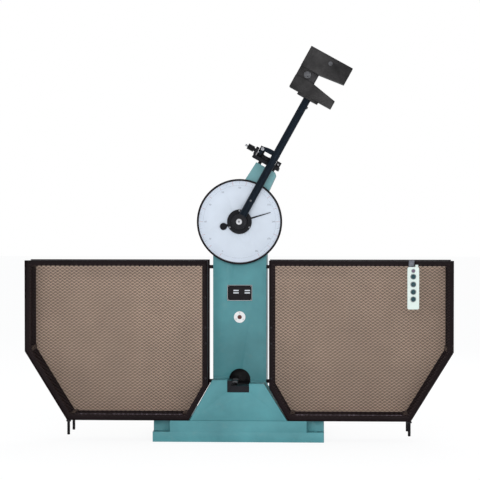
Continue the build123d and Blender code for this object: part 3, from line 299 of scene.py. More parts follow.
def socket_screw(centre, direction, radius, height):
    """A cap screw's head with a chamfered rim, standing on centre, and its hexagon socket."""
    head = turned(
        [(radius * 0.96, 0), (radius, radius * 0.06), (radius, height - radius * 0.14),
         (radius * 0.88, height), (radius * 0.60, height),
         (radius * 0.52, height - radius * 0.08)],
        centre, direction, sides=24)
    socket = turned(
        [(radius * 0.50, 0), (radius * 0.48, radius * 0.02)],
        Vector(centre) + Vector(direction).normalized() * (height - radius * 0.075),
        direction, sides=6)
    return head, socket


def hex_head(centre, direction, radius, height, spin, washer):
    """A hexagon bolt head with chamfered corners, and the washer under it."""
    disc = turned(
        [(radius * washer * 0.97, 0), (radius * washer, height * 0.06),
         (radius * washer, height * 0.16), (radius * washer * 0.95, height * 0.2)],
        centre, direction, sides=28)
    lift = Vector(direction).normalized() * height * 0.2
    head = turned(
        [(radius * 0.97, 0), (radius, height * 0.05), (radius, height * 0.66),
         (radius * 0.9, height * 0.8), (radius * 0.62, height * 0.8)],
        Vector(centre) + lift, direction, sides=6, spin=spin)
    return [disc, head]


# Finishes


def linear(red, green, blue):
    """A colour written as it looks on screen, as the shader wants it."""
    return [
        channel / 12.92 if channel <= 0.04045 else ((channel + 0.055) / 1.055) ** 2.4
        for channel in (red, green, blue)
    ] + [1.0]


def shaded(colour, share, lift=0.0):
    """A darker or paler relative of a colour, as the shader wants it."""
    return linear(*[min(1, channel * share + lift) for channel in colour])


class Signal:
    """A shader output that takes part in Python arithmetic."""

    def __init__(self, shader, socket):
        self.shader = shader
        self.socket = socket

    def combine(self, operation, *values):
        return self.shader.node("ShaderNodeMath", {"operation": operation}, values)

    def __add__(self, other):
        return self.combine("ADD", self, other)

    def __sub__(self, other):
        return self.combine("SUBTRACT", self, other)

    def __mul__(self, other):
        return self.combine("MULTIPLY", self, other)

    def __pow__(self, other):
        return self.combine("POWER", self, other)

    def __gt__(self, other):
        return self.combine("GREATER_THAN", self, other)

    def __lt__(self, other):
        return self.combine("LESS_THAN", self, other)


class Finish:
    """One material and the nodes that make it."""

    def __init__(self, name):
        self.material = bpy.data.materials.new(name)
        self.material.use_nodes = True
        self.tree = self.material.node_tree
        self.surface = self.tree.nodes["Principled BSDF"]
        self.place = self.node("ShaderNodeTexCoord", {}, {}, "Object")

    def node(self, kind, settings, values, output=0):
        """Adds a node: its settings first, then the values or links of its sockets."""
        made = self.tree.nodes.new(kind)
        for setting, value in settings.items():
            if setting == "stops":
                self.set_stops(made.color_ramp, value)
            else:
                setattr(made, setting, value)
        pairs = values.items() if isinstance(values, dict) else enumerate(values)
        for socket, value in pairs:
            self.feed(made.inputs[socket], value)
        return Signal(self, made.outputs[output])

    def feed(self, socket, value):
        """Sets a socket to a value or links a signal to it."""
        if isinstance(value, Signal):
            self.tree.links.new(value.socket, socket)
        else:
            socket.default_value = value

    def set_stops(self, ramp, stops):
        """Gives a ramp its stops as (position, grey level)."""
        while len(ramp.elements) > 1:
            ramp.elements.remove(ramp.elements[0])
        for place, (position, level) in enumerate(stops):
            stop = ramp.elements[0] if place == 0 else ramp.elements.new(position)
            stop.position = position
            stop.color = (level, level, level, 1)

    def stretched(self, scale):
        """The place on the object, stretched along its axes."""
        return self.node("ShaderNodeMapping", {}, {"Vector": self.place, "Scale": scale})

    def noise(self, scale, detail=3.0, roughness=0.5, place=None):
        values = {"Vector": place or self.place, "Scale": scale, "Detail": detail,
                  "Roughness": roughness}
        return self.node("ShaderNodeTexNoise", {"noise_dimensions": "3D"}, values)

    def cells(self, scale):
        values = {"Vector": self.place, "Scale": scale}
        return self.node("ShaderNodeTexVoronoi", {"feature": "F1"}, values)

    def ramp(self, signal, *stops):
        return self.node("ShaderNodeValToRGB", {"stops": stops}, {"Fac": signal})

    def patches(self, scale, detail, roughness, start, end):
        """Noise as soft-edged patches: none of it below start, all of it above end."""
        return self.ramp(self.noise(scale, detail, roughness), (start, 0.0), (end, 1.0))

    def mix(self, factor, first, second):
        values = {"Factor": factor, 6: first, 7: second}
        settings = {"data_type": "RGBA", "blend_type": "MIX"}
        return self.node("ShaderNodeMix", settings, values, 2)

    def axis(self, letter):
        """One coordinate of the place on the object."""
        return self.node("ShaderNodeSeparateXYZ", {}, {"Vector": self.place}, letter)

    def reach(self):
        """Distance from the shaft's axis, which runs along Y."""
        across = self.axis("X") - SHAFT.x
        upright = self.axis("Z") - SHAFT.z
        return (across * across + upright * upright) ** 0.5

    def relief(self, height, distance, strength=1.0):
        values = {"Height": height, "Distance": distance, "Strength": strength}
        self.feed(self.surface.inputs["Normal"], self.node("ShaderNodeBump", {}, values))

    def set(self, **values):
        """Feeds the shader's own sockets, named with underscores for spaces."""
        for socket, value in values.items():
            self.feed(self.surface.inputs[socket.replace("_", " ")], value)
        return self.material


def enamel(name, colour, gloss, peel=0.00006, dusty=0.10, coat=0.25, shine=0.5, worn=None):
    """Sprayed enamel on iron: soft cloudiness, orange peel, patches of dust, and painted light if
    given.
    """
    skin = Finish(name)
    tone = skin.mix(skin.patches(3.2, 5.0, 0.6, 0.32, 0.68), shaded(colour, 0.9),
                    shaded(colour, 1.05, 0.012))
    stain = skin.patches(17.0, 6.0, 0.7, 0.56, 0.74)
    tone = skin.mix(stain * dusty, tone, linear(0.62, 0.6, 0.56))
    fleck = skin.ramp(skin.cells(160.0), (0.0, 1.0), (0.05, 0.0))
    tone = skin.mix(fleck * 0.16, tone, linear(*colour))
    skin.relief(skin.noise(420.0, 2.0, 0.5), peel)
    rough = skin.noise(9.0, 4.0, 0.6) * 0.16 + (gloss - 0.06) + stain * 0.12
    # What is given here paints light or shade into the tone.
    if worn:
        tone = worn(skin, tone)
    return skin.set(
        Base_Color=tone, Roughness=rough, Coat_Weight=coat, Coat_Roughness=0.12, IOR=1.5,
        Specular_IOR_Level=shine)


def painted_tray_highlight(skin, tone):
    """Pale patches on the guards' floor: painted highlight where light falls on its upward faces.
    """
    highlight_patches = skin.ramp(skin.noise(26.0, 5.0, 0.65), (0.40, 0.3), (0.60, 1.0))
    # Painted highlight: pale patches over the tray's enamel.
    return skin.mix(highlight_patches * 0.9, tone, linear(0.72, 0.67, 0.72))


def niche_shade_and_head_light(skin, tone):
    """Painted shade makes the niche behind the anvils black inside, and painted light makes the
    enamel paler towards the head.
    """
    across, depth, upright = [skin.axis(letter) for letter in "XYZ"]
    # The column's face, which the nameplate lies on, keeps its own colour round the niche.
    behind_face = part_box("nameplate")[1][1] + 0.0005
    inside = (across * across < NICHE_HALF ** 2) * (upright < NICHE_TOP) * (depth > behind_face)
    # Painted shade: black inside the niche.
    tone = skin.mix(inside * (upright > NICHE_FOOT), tone, linear(0.05, 0.045, 0.05))
    # Painted light: paler towards the head, as if lit from above.
    painted_head_light = skin.ramp(upright * 0.5, (0.40, 0.0), (0.62, 1.0))
    return skin.mix(painted_head_light * 0.34, tone, linear(0.62, 0.76, 0.77))


def steel(name, colour, rough, grain=(1, 1, 1), tint=0.10, spots=0.0):
    """Bare or blued steel with the marks of its machining, and spots of rust if given."""
    skin = Finish(name)
    streaks = skin.noise(260.0, 3.0, 0.65, skin.stretched(grain))
    cloud = skin.noise(14.0, 5.0, 0.6)
    tone = skin.mix(skin.ramp(streaks * 0.6 + cloud * 0.4, (0.3, 0.0), (0.7, 1.0)),
                    shaded(colour, 1 - tint), shaded(colour, 1 + tint))
    if spots:
        rust = skin.patches(55.0, 6.0, 0.75, 0.58, 0.72)
        tone = skin.mix(rust * spots, tone, linear(0.30, 0.22, 0.17))
    skin.relief(streaks, 0.00002)
    return skin.set(
        Base_Color=tone, Metallic=1.0, Roughness=streaks * 0.16 + (rough - 0.08) + cloud * 0.06)


def blackened(name, colour, gloss, metal, scuff=0.25):
    """Oil blackened iron, part metal to the eye, scuffed grey in patches."""
    skin = Finish(name)
    cloud = skin.noise(11.0, 6.0, 0.65)
    grit = skin.noise(210.0, 4.0, 0.7)
    tone = skin.mix(skin.ramp(cloud, (0.3, 0.0), (0.7, 1.0)), shaded(colour, 0.72),
                    shaded(colour, 1.35))
    # Scuffed grey patches of wear.
    worn = skin.patches(38.0, 7.0, 0.75, 0.56, 0.70)
    tone = skin.mix(worn * scuff, tone, linear(0.30, 0.29, 0.28))
    skin.relief(grit, 0.00008)
    return skin.set(
        Base_Color=tone, Metallic=metal, Roughness=grit * 0.14 + (gloss - 0.07) + worn * 0.08,
        Specular_IOR_Level=0.3)


def moulded(name, colour, gloss, coat=0.0):
    """Moulded plastic with a fine spark-eroded grain and faint soiling."""
    skin = Finish(name)
    cloud = skin.noise(26.0, 5.0, 0.6)
    tone = skin.mix(skin.ramp(cloud, (0.4, 0.0), (0.75, 1.0)) * 0.06, linear(*colour),
                    shaded(colour, 0.6))
    skin.relief(skin.noise(900.0, 2.0, 0.6), 0.00003)
    return skin.set(
        Base_Color=tone, Roughness=cloud * 0.12 + (gloss - 0.06), Coat_Weight=coat,
        Coat_Roughness=0.08, IOR=1.49)


def turned_steel(name, colour):
    """Steel faced on a lathe, with fine rings round the shaft's axis."""
    skin = Finish(name)
    rings = skin.node("ShaderNodeMath", {"operation": "SINE"}, [skin.reach() * 9000.0])
    cloud = skin.noise(30.0, 4.0, 0.6)
    tone = skin.mix(skin.ramp(rings * 0.2 + cloud, (0.25, 0.0), (0.8, 1.0)),
                    shaded(colour, 0.86), linear(*colour))
    skin.relief(rings, 0.00001, 0.5)
    # Pale and only part metal so that it shows bright: bare steel, and partly painted highlight.
    return skin.set(Base_Color=tone, Metallic=0.45, Roughness=cloud * 0.12 + 0.26)


def dial_face(name, colour):
    """Satin white enamel, greyer and bluer towards its rim, with fine dust."""
    skin = Finish(name)
    reach = skin.reach()
    cloud = skin.noise(7.0, 5.0, 0.6)
    tone = skin.mix(skin.ramp(cloud, (0.35, 0.0), (0.7, 1.0)), shaded(colour, 0.965),
                    linear(*colour))
    edge = skin.ramp(reach * 5.0, (0.72, 0.0), (1.0, 1.0))
    tone = skin.mix(edge * 0.22, tone, linear(0.66, 0.70, 0.76))
    dust = skin.patches(60.0, 6.0, 0.75, 0.6, 0.76)
    tone = skin.mix(dust * 0.10, tone, linear(0.6, 0.6, 0.6))
    skin.relief(skin.noise(300.0, 2.0, 0.5), 0.00002)
    return skin.set(Base_Color=tone, Roughness=cloud * 0.14 + 0.30, Coat_Weight=0.15)


def backing(name, colour):
    """Brown sheet with soft blotches, as a board that has faded unevenly."""
    skin = Finish(name)
    cloud = skin.noise(4.5, 5.0, 0.6)
    tone = skin.mix(skin.ramp(cloud, (0.3, 0.0), (0.7, 1.0)), shaded(colour, 0.9),
                    linear(*colour))
    fibre = skin.noise(160.0, 4.0, 0.7, skin.stretched((1, 1, 0.15)))
    tone = skin.mix(fibre * 0.25, tone, shaded(colour, 0.8))
    skin.relief(fibre, 0.00003)
    return skin.set(Base_Color=tone, Roughness=cloud * 0.1 + 0.55)


def ink(name, colour):
    """Printing ink, a little uneven."""
    skin = Finish(name)
    wear = skin.noise(240.0, 5.0, 0.7)
    tone = skin.mix(skin.ramp(wear, (0.45, 0.0), (0.8, 0.5)), linear(*colour),
                    shaded(colour, 0.5, 0.42))
    return skin.set(Base_Color=tone, Roughness=wear * 0.2 + 0.42)


def lens(name, colour):
    """Tinted lamp lens with a ribbed inside that shows through faintly."""
    skin = Finish(name)
    ribs = skin.node("ShaderNodeMath", {"operation": "SINE"}, [skin.axis("X") * 2600.0])
    tone = skin.mix(ribs * 0.5 + 0.5, shaded(colour, 0.75), linear(*colour))
    return skin.set(Base_Color=tone, Roughness=skin.noise(60.0) * 0.1 + 0.1, Coat_Weight=0.6)


def make_finishes():
    """Every finish, by the record's slot or by its own name."""
    made = {}

    def add(recipe, name, colour, **settings):
        made[name] = recipe(name, colour, **settings)

    # The castings' enamel gets painted shade in the niche and painted light towards the head.
    add(enamel, "machine_green", look("castings"), gloss=0.36, coat=0.12, shine=0.4,
        worn=niche_shade_and_head_light)
    add(enamel, "guard_brown", look("guards"), gloss=0.34, dusty=0.02, peel=0.00004, coat=0.03,
        shine=0.15)
    add(enamel, "mesh_brown", look("mesh"), gloss=0.4, dusty=0.03, coat=0.0, shine=0.3)
    # The tray's enamel gets pale patches of painted highlight.
    add(enamel, "tray_brown", look("guards"), gloss=0.4, dusty=0.03, coat=0.0, shine=0.4,
        worn=painted_tray_highlight)
    add(blackened, "black_steel", (0.09, 0.09, 0.105), gloss=0.40, metal=0.2, scuff=0.12)
    add(steel, "tool_steel", (0.42, 0.42, 0.43), rough=0.28, grain=(1, 6, 1), tint=0.08)
    add(blackened, "hammer_iron", (0.20, 0.195, 0.195), gloss=0.46, metal=0.35)
    add(steel, "blued_steel", (0.155, 0.185, 0.22), rough=0.36, grain=(1, 1, 0.1), tint=0.16,
        spots=0.1)
    add(blackened, "hub_steel", (0.14, 0.14, 0.15), gloss=0.36, metal=0.5, scuff=0.15)
    add(steel, "bright_steel", (0.84, 0.84, 0.85), rough=0.26, tint=0.08, spots=0.05)
    add(dial_face, "dial_enamel", look("dial"))
    add(enamel, "black_enamel", (0.075, 0.055, 0.07), gloss=0.34, dusty=0.02, coat=0.06, shine=0.2)
    add(enamel, "pointer_enamel", (0.05, 0.05, 0.07), gloss=0.3, dusty=0.01, coat=0.06, shine=0.2)
    add(enamel, "flange_alloy", (0.97, 0.965, 0.955), gloss=0.3, dusty=0.05)
    add(moulded, "plug_brown", (0.36, 0.16, 0.13), gloss=0.3)
    add(enamel, "drive_iron", (0.40, 0.45, 0.47), gloss=0.42, dusty=0.2)
    add(steel, "motor_alloy", (0.5, 0.52, 0.54), rough=0.46, tint=0.08)
    add(moulded, "pendant_mint", look("pendant"), gloss=0.34, coat=0.2)
    add(moulded, "button_teal", (0.10, 0.25, 0.28), gloss=0.3, coat=0.2)
    add(lens, "lamp_lens", (0.50, 0.43, 0.52))
    add(steel, "strip_zinc", (0.56, 0.57, 0.6), rough=0.38, grain=(1, 1, 3), tint=0.12)
    # The shaft's pale, part-metal face is partly a painted highlight.
    add(turned_steel, "shaft_face", (0.93, 0.93, 0.94))
    add(blackened, "socket_shadow", (0.05, 0.05, 0.05), gloss=0.6, metal=0.2)
    add(ink, "grey_ink", (0.40, 0.42, 0.47))
    add(ink, "red_ink", (0.66, 0.36, 0.38))
    add(moulded, "white_field", (0.86, 0.88, 0.9), gloss=0.4)
    add(steel, "silver_edge", (0.8, 0.8, 0.81), rough=0.34, tint=0.05)
    add(backing, "sheet_brown", look("back_sheet"))
    add(blackened, "striker_steel", (0.24, 0.235, 0.24), gloss=0.4, metal=0.6)
    add(blackened, "bolt_steel", (0.43, 0.43, 0.44), gloss=0.38, metal=0.8, scuff=0.1)
    add(blackened, "iron_ring", (0.2, 0.19, 0.2), gloss=0.38, metal=0.6, scuff=0.2)
    add(steel, "coil_wire", (0.42, 0.42, 0.44), rough=0.32)
    return made


def look(part):
    """The colour that the panel gives one part, as it looks on screen."""
    return tuple(getattr(bpy.context.scene.tester_colours, part))


finishes = {}


# Settings that the panel shows


class TesterSizes(bpy.types.PropertyGroup):
    """Sizes of what the frame leaves to the scene."""

    casting_edge: bpy.props.FloatProperty(
        name="Casting edge", description="Radius of the painted castings' edges",
        default=0.0025, min=0.0005, max=0.006, unit="LENGTH")
    machined_edge: bpy.props.FloatProperty(
        name="Machined edge", description="Broken edge of the machined parts",
        default=0.0008, min=0.0002, max=0.003, unit="LENGTH")
    mesh_width: bpy.props.FloatProperty(
        name="Mesh width", description="Width of one diamond of the guard mesh",
        default=0.0217, min=0.015, max=0.05, unit="LENGTH")
    mesh_height: bpy.props.FloatProperty(
        name="Mesh height", description="Height of one diamond of the guard mesh",
        default=0.0148, min=0.01, max=0.04, unit="LENGTH")
    strand_width: bpy.props.FloatProperty(
        name="Strand width", description="Width of one strand of the guard mesh",
        default=0.0022, min=0.001, max=0.005, unit="LENGTH")
    dial_divisions: bpy.props.IntProperty(
        name="Dial divisions", description="Fine divisions round the dial's scale",
        default=150, min=30, max=300)
    thread_pitch: bpy.props.FloatProperty(
        name="Thread pitch", description="Pitch of the guard legs' thread",
        default=0.002, min=0.001, max=0.004, unit="LENGTH")


class TesterColours(bpy.types.PropertyGroup):
    """Colours of the painted and moulded parts, as they look on screen."""

    castings: bpy.props.FloatVectorProperty(
        name="Castings", description="Enamel of the base, column and pedestal",
        default=(0.325, 0.565, 0.59), min=0, max=1, size=3, subtype="COLOR_GAMMA")
    guards: bpy.props.FloatVectorProperty(
        name="Guards", description="Enamel of the guard frames and the guards' floor",
        default=(0.095, 0.055, 0.062), min=0, max=1, size=3, subtype="COLOR_GAMMA")
    dial: bpy.props.FloatVectorProperty(
        name="Dial", description="Enamel of the dial's face",
        default=(0.83, 0.865, 0.91), min=0, max=1, size=3, subtype="COLOR_GAMMA")
    mesh: bpy.props.FloatVectorProperty(
        name="Mesh", description="Enamel of the expanded mesh",
        default=(0.13, 0.075, 0.07), min=0, max=1, size=3, subtype="COLOR_GAMMA")
    back_sheet: bpy.props.FloatVectorProperty(
        name="Back sheet", description="Sheet that closes the back of each guard",
        default=(0.82, 0.715, 0.635), min=0, max=1, size=3, subtype="COLOR_GAMMA")
    pendant: bpy.props.FloatVectorProperty(
        name="Hand control", description="Moulding of the hand control",
        default=(0.86, 0.91, 0.885), min=0, max=1, size=3, subtype="COLOR_GAMMA")


# Pieces


class TESTER_OT_finishes(bpy.types.Operator):
    """Make every finish and give the plain frame parts theirs"""

    bl_idname = "tester.finishes"
    bl_label = "Finishes"

    def execute(self, context):
        finishes.update(make_finishes())
        for node, part in nodes.items():
            part.data.materials.clear()
            part.data.materials.append(finishes[slot_of[node]])
        return {"FINISHED"}


class TESTER_OT_castings(bpy.types.Operator):
    """Round the edges of the base, pedestal, column, bearing housing and rear cover"""

    bl_idname = "tester.castings"
    bl_label = "Castings"

    def execute(self, context):
        edge = context.scene.tester_sizes.casting_edge
        for node in ("base_casting", "column", "front_pedestal"):
            soften(node, edge, 3)
        soften("rear_cover", edge * 0.3)
        soften("bearing_housing", edge * 0.4)
        return {"FINISHED"}


class TESTER_OT_anvils(bpy.types.Operator):
    """Finish the support blocks and anvils and screw the anvils down"""

    bl_idname = "tester.anvils"
    bl_label = "Anvils"

    def execute(self, context):
        edge = context.scene.tester_sizes.machined_edge
        for node in ("front_support_block", "rear_support_block"):
            soften(node, edge * 1.4)
        for node in ("front_anvil", "rear_anvil"):
            soften(node, edge * 0.5)
        heads, sockets = [], []
        for low, high in islands("anvil_screws"):
            foot = ((low.x + high.x) / 2, (low.y + high.y) / 2, low.z)
            radius, height = (high.x - low.x) / 2, high.z - low.z
            # What is over 10 mm tall is plain, without a socket.
            if height > 0.01:
                heads.append(turned([(radius, 0), (radius, height)], foot, UP, 16))
                continue
            head, socket = socket_screw(foot, UP, radius, height)
            heads.append(head)
            sockets.append(socket)
        fit(heads, "anvil_screw_heads", "bright_steel", stands_for=("anvil_screws",))
        fit(sockets, "anvil_screw_sockets", "black_steel", "socket_shadow")
        return {"FINISHED"}


def dial_mark(angle, inner, width):
    """One radial mark on the dial, clockwise from straight up."""
    mark = block((-width / 2, -PRINT, inner), (width / 2, 0, SCALE_REACH))
    mark.data.transform(
        Matrix.Translation((0, DIAL_FACE, SHAFT.z)) @ Matrix.Rotation(angle, 4, "Y"))
    return mark


def dial_number(value, angle, reach=0.159, size=0.0105, proud=0.0001):
    """A plain number on the dial, upright to the reader."""
    clear_choice()
    bpy.ops.object.text_add()
    text = bpy.context.object
    text.data.body = value
    text.data.size = size
    text.data.align_x = "CENTER"
    text.data.align_y = "CENTER"
    text.data.extrude = proud
    text.data.resolution_u = 3
    bpy.ops.object.convert(target="MESH")
    place = (reach * math.sin(angle), DIAL_FACE, SHAFT.z + reach * math.cos(angle))
    text.data.transform(Matrix.Translation(place) @ Matrix.Rotation(math.pi / 2, 4, "X"))
    return text


def printed_arc(reach, width, start, sweep, proud=PRINT):
    """A thin printed line that follows the scale."""
    clear_choice()
    bpy.ops.mesh.primitive_plane_add(size=1)
    arc = bpy.context.object
    arc.data.transform(
        Matrix.Rotation(start, 4, "Y")
        @ Matrix.Translation((0, -proud / 2, reach + width / 2))
        @ Matrix.Diagonal((1, proud, width, 1))
        @ Matrix.Rotation(math.pi / 2, 4, "Y"))
    with editing(arc):
        bpy.ops.mesh.spin(steps=120, angle=sweep, center=(0, 0, 0), axis=(0, 1, 0))
        bpy.ops.mesh.select_all(action="SELECT")
        bpy.ops.mesh.normals_make_consistent(inside=False)
    arc.data.transform(Matrix.Translation((0, DIAL_FACE, SHAFT.z)))
    return arc


class TESTER_OT_dial(bpy.types.Operator):
    """Print the dial, fit its rim, bearing cover and pointer"""

    bl_idname = "tester.dial"
    bl_label = "Dial"

    def execute(self, context):
        edge = context.scene.tester_sizes.machined_edge
        soften("dial_plate", edge * 0.3)
        soften("dial_rim", edge * 1.2, 3)
        soften("dial_standoffs", edge)
        soften("bearing_cover", edge, 3, whole_faces=False)
        soften("dial_pointer", edge * 0.5)
        divisions = context.scene.tester_sizes.dial_divisions
        start = -SCALE_SWEEP / 2
        fine, coarse = [], []
        for step in range(divisions + 1):
            angle = start + SCALE_SWEEP * step / divisions
            if step % 10 == 0:
                coarse.append(dial_mark(angle, inner=0.171, width=0.0011))
            elif step % 5 == 0:
                fine.append(dial_mark(angle, inner=0.177, width=0.0008))
            else:
                fine.append(dial_mark(angle, inner=0.182, width=0.0006))
        numbers = [dial_number(str(30 * step), start + SCALE_SWEEP * step / 10)
                   for step in range(11)]
        for reach, width in ((0.1902, 0.0006), (0.1700, 0.0004)):
            fine.append(printed_arc(reach, width, start, SCALE_SWEEP))
        fit(fine, "dial_fine_marks", "dial_enamel", "grey_ink")
        fit(coarse, "dial_main_marks", "dial_enamel", "red_ink")
        fit(numbers, "dial_numbers", "dial_enamel", "grey_ink")
        # A dark ring is printed all round, just inside the rim.
        low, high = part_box("dial_rim")
        rim_bore = (high[0] - low[0]) / 2 - RIM_WIDTH
        dark_ring = printed_arc(rim_bore - DARK_RING_WIDTH, DARK_RING_WIDTH, 0, 2 * math.pi, 0.0002)
        finish(dark_ring, "dial_gasket", "frame", "black_enamel", "iron_ring")
        return {"FINISHED"}


class TESTER_OT_screws(bpy.types.Operator):
    """Fit the screws of the bearing cover, the round flange and the rear cover"""

    bl_idname = "tester.screws"
    bl_label = "Screws"

    def execute(self, context):
        heads, slots = [], []
        for low, high in islands("column_screws"):
            across, upright = (low.x + high.x) / 2, (low.z + high.z) / 2
            radius, depth = (high.x - low.x) / 2, high.y - low.y
            # Screws ahead of the shaft's middle face the front, the others the back.
            out = -1 if low.y < 0 else 1
            foot, top = (high.y, low.y) if out < 0 else (low.y, high.y)
            heads.append(turned(
                [(radius * 0.97, 0), (radius * 0.97, depth * 0.72), (radius * 0.86, depth * 0.92),
                 (radius * 0.5, depth), (radius * 0.1, depth)],
                (across, foot, upright), -out * FRONT, 20))
            tip = top + out * 0.00004
            inner = tip - out * 0.0004
            slots.append(block(
                (across - radius * 0.8, min(tip, inner), upright - radius * 0.12),
                (across + radius * 0.8, max(tip, inner), upright + radius * 0.12)))
        fit(heads, "cover_screw_heads", "bright_steel", stands_for=("column_screws",))
        fit(slots, "cover_screw_slots", "black_steel", "socket_shadow")
        return {"FINISHED"}


class TESTER_OT_plates(bpy.types.Operator):
    """Finish the nameplate and the round flange on the column"""

    bl_idname = "tester.plates"
    bl_label = "Nameplate and flange"

    def execute(self, context):
        edge = context.scene.tester_sizes.machined_edge
        soften("nameplate", edge * 0.35)
        soften("column_flange", edge, 3)
        soften("column_flange_plug", edge * 0.8, 3)
        low, high = [Vector(corner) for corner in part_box("nameplate")]
        face, rim = low.y, 0.0022
        border = [
            block((left, face - 0.0002, foot), (right, face + 0.0004, top), 0.00008)
            for left, right, foot, top in (
                (low.x, high.x, high.z - rim, high.z), (low.x, high.x, low.z, low.z + rim),
                (low.x, low.x + rim, low.z + rim, high.z - rim),
                (high.x - rim, high.x, low.z + rim, high.z - rim))
        ]
        fit(border, "nameplate_border", "flange_alloy", "silver_edge")
        # Blank fields: two columns beside the plate's middle, two rows down from its top.
        half_width, half_height, first_row, row_step = 0.0125, 0.0026, 0.0262, 0.0112
        fields = []
        for offset in (-0.017, 0.036):
            for row in (0, 1):
                across = (low.x + high.x) / 2 + offset
                upright = high.z - first_row - row * row_step
                fields.append(block(
                    (across - half_width, face + 0.0004, upright - half_height),
                    (across + half_width, face + 0.0009, upright + half_height), 0.0002))
        fit(fields, "nameplate_fields", "flange_alloy", "white_field")
        inset = 0.006
        rivets = [
            turned([(0.0017, 0), (0.0016, 0.0005), (0.0011, 0.0009), (0.0004, 0.0011)],
                   (across, face + 0.0008, upright), FRONT, 16)
            for across in (low.x + inset, high.x - inset)
            for upright in (low.z + inset, high.z - inset)
        ]
        fit(rivets, "nameplate_rivets", "bright_steel")
        return {"FINISHED"}


class TESTER_OT_pendulum(bpy.types.Operator):
    """Finish the shaft, hub, rod, hammer and striker"""

    bl_idname = "tester.pendulum"
    bl_label = "Pendulum"

    def execute(self, context):
        edge = context.scene.tester_sizes.machined_edge
        soften("hammer", edge * 1.6, 3)
        soften("pendulum_rod", edge)
        soften("pendulum_hub", edge * 1.4, 3)
        soften("striker", edge * 0.4, skin="striker_steel")
        soften("striker_bolt", edge * 1.2, 3, skin="bolt_steel")
        soften("catch_pin", edge)
        soften("pendulum_screws", edge * 0.6, skin="bolt_steel")
        soften("pendulum_shaft", edge, skin="shaft_face")
        self.drill_shaft_end()
        self.fit_spanner_holes()
        return {"FINISHED"}

    def drill_shaft_end(self):
        """The shaft's centre hole and the ring round it, as the lathe left them."""
        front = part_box("pendulum_shaft")[0][1]
        ring = turned([(0.0062, 0), (0.0062, 0.0003), (0.0046, 0.0005), (0.0036, 0.0002)],
                      (SHAFT.x, front + 0.0001, SHAFT.z), FRONT, 32)
        finish(ring, "shaft_centre_ring", "pendulum", "bright_steel")
        hole = turned([(0.0026, 0), (0.0024, 0.0003)],
                      (SHAFT.x, front - 0.0001, SHAFT.z), FRONT, 24)
        finish(hole, "shaft_centre_hole", "pendulum", "black_steel", "socket_shadow")

    def fit_spanner_holes(self):
        """Two pin holes in the striker's round nut."""
        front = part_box("striker_bolt")[0][1] + 0.0001
        nut_v, nut_u, half_span = -0.049, 0.753, 0.009
        holes = [
            turned([(0.0021, 0), (0.0020, 0.0003)],
                   on_arm(nut_v, nut_u + side * half_span, front), FRONT, 16)
            for side in (-1, 1)
        ]
        fit(holes, "striker_bolt_holes", "black_steel", "socket_shadow", body="pendulum")


class TESTER_OT_release(bpy.types.Operator):
    """Finish the latch, its spring, the solenoid and the safety pin"""

    bl_idname = "tester.release"
    bl_label = "Release gear"

    def execute(self, context):
        edge = context.scene.tester_sizes.machined_edge
        for node in ("latch_plate", "latch_box", "safety_block", "pivot_bracket", "latch_post"):
            soften(node, edge * 1.4, 3)
        for node in ("release_hook", "hook_pivot_pin", "solenoid", "release_plunger",
                     "safety_pin", "latch_spacers"):
            soften(node, edge * 0.7)
        finish(smooth(clean_copy("hook_spring"), 60), "hook_spring_wire", "frame",
               "bright_steel", "coil_wire", ("hook_spring",))
        self.screw_latch_box()
        self.knurl_safety_knob()
        return {"FINISHED"}

    def screw_latch_box(self):
        """The four screws on top of the latch box."""
        corners = [
            turned([(0.0024, 0), (0.0024, 0.0012), (0.0020, 0.0018), (0.0008, 0.0020)],
                   on_arm(v, 0.329, y), ALONG_ARM, 16)
            for v in (-0.052, -0.023) for y in (-0.143, -0.067)
        ]
        fit(corners, "latch_box_screws", "bright_steel")

    def knurl_safety_knob(self):
        """Grip rings round the safety pin's knob."""
        first, step, count = -0.0055, 0.0024, 4
        rings = [
            turned([(0.0079, 0), (0.0083, 0.0004), (0.0083, 0.0009), (0.0079, 0.0013)],
                   on_arm(0.0275, 0.320, first + place * step), (0, 1, 0), 32)
            for place in range(count)
        ]
        fit(rings, "safety_knob_rings", "bright_steel", body="safety_pin")


class TESTER_OT_drive(bpy.types.Operator):
    """Finish the bearings, gearbox, motor and clutch inside the column"""

    bl_idname = "tester.drive"
    bl_label = "Lift drive"

    def execute(self, context):
        edge = context.scene.tester_sizes.machined_edge
        for node in ("drive_frame", "gearbox", "motor"):
            soften(node, edge)
        for node in ("front_bearing", "rear_bearing", "clutch_armature", "clutch_rotor"):
            soften(node, edge * 0.6)
        return {"FINISHED"}


def cut_away(piece, point, way):
    """Cuts off what lies beyond a plane and leaves the cut open."""
    with editing(piece):
        bpy.ops.mesh.bisect(plane_co=point, plane_no=way, clear_outer=True, use_fill=False)


def trim_to_outline(sheet, y):
    """Cuts an upright sheet back to the right guard's outline, less the inset."""
    for start, end in zip(GUARD_OUTLINE, GUARD_OUTLINE[1:] + GUARD_OUTLINE[:1]):
        run = Vector((end[0] - start[0], 0, end[1] - start[1])).normalized()
        out = Vector((run.z, 0, -run.x))
        cut_away(sheet, Vector((start[0], y, start[1])) - out * MESH_INSET, out)


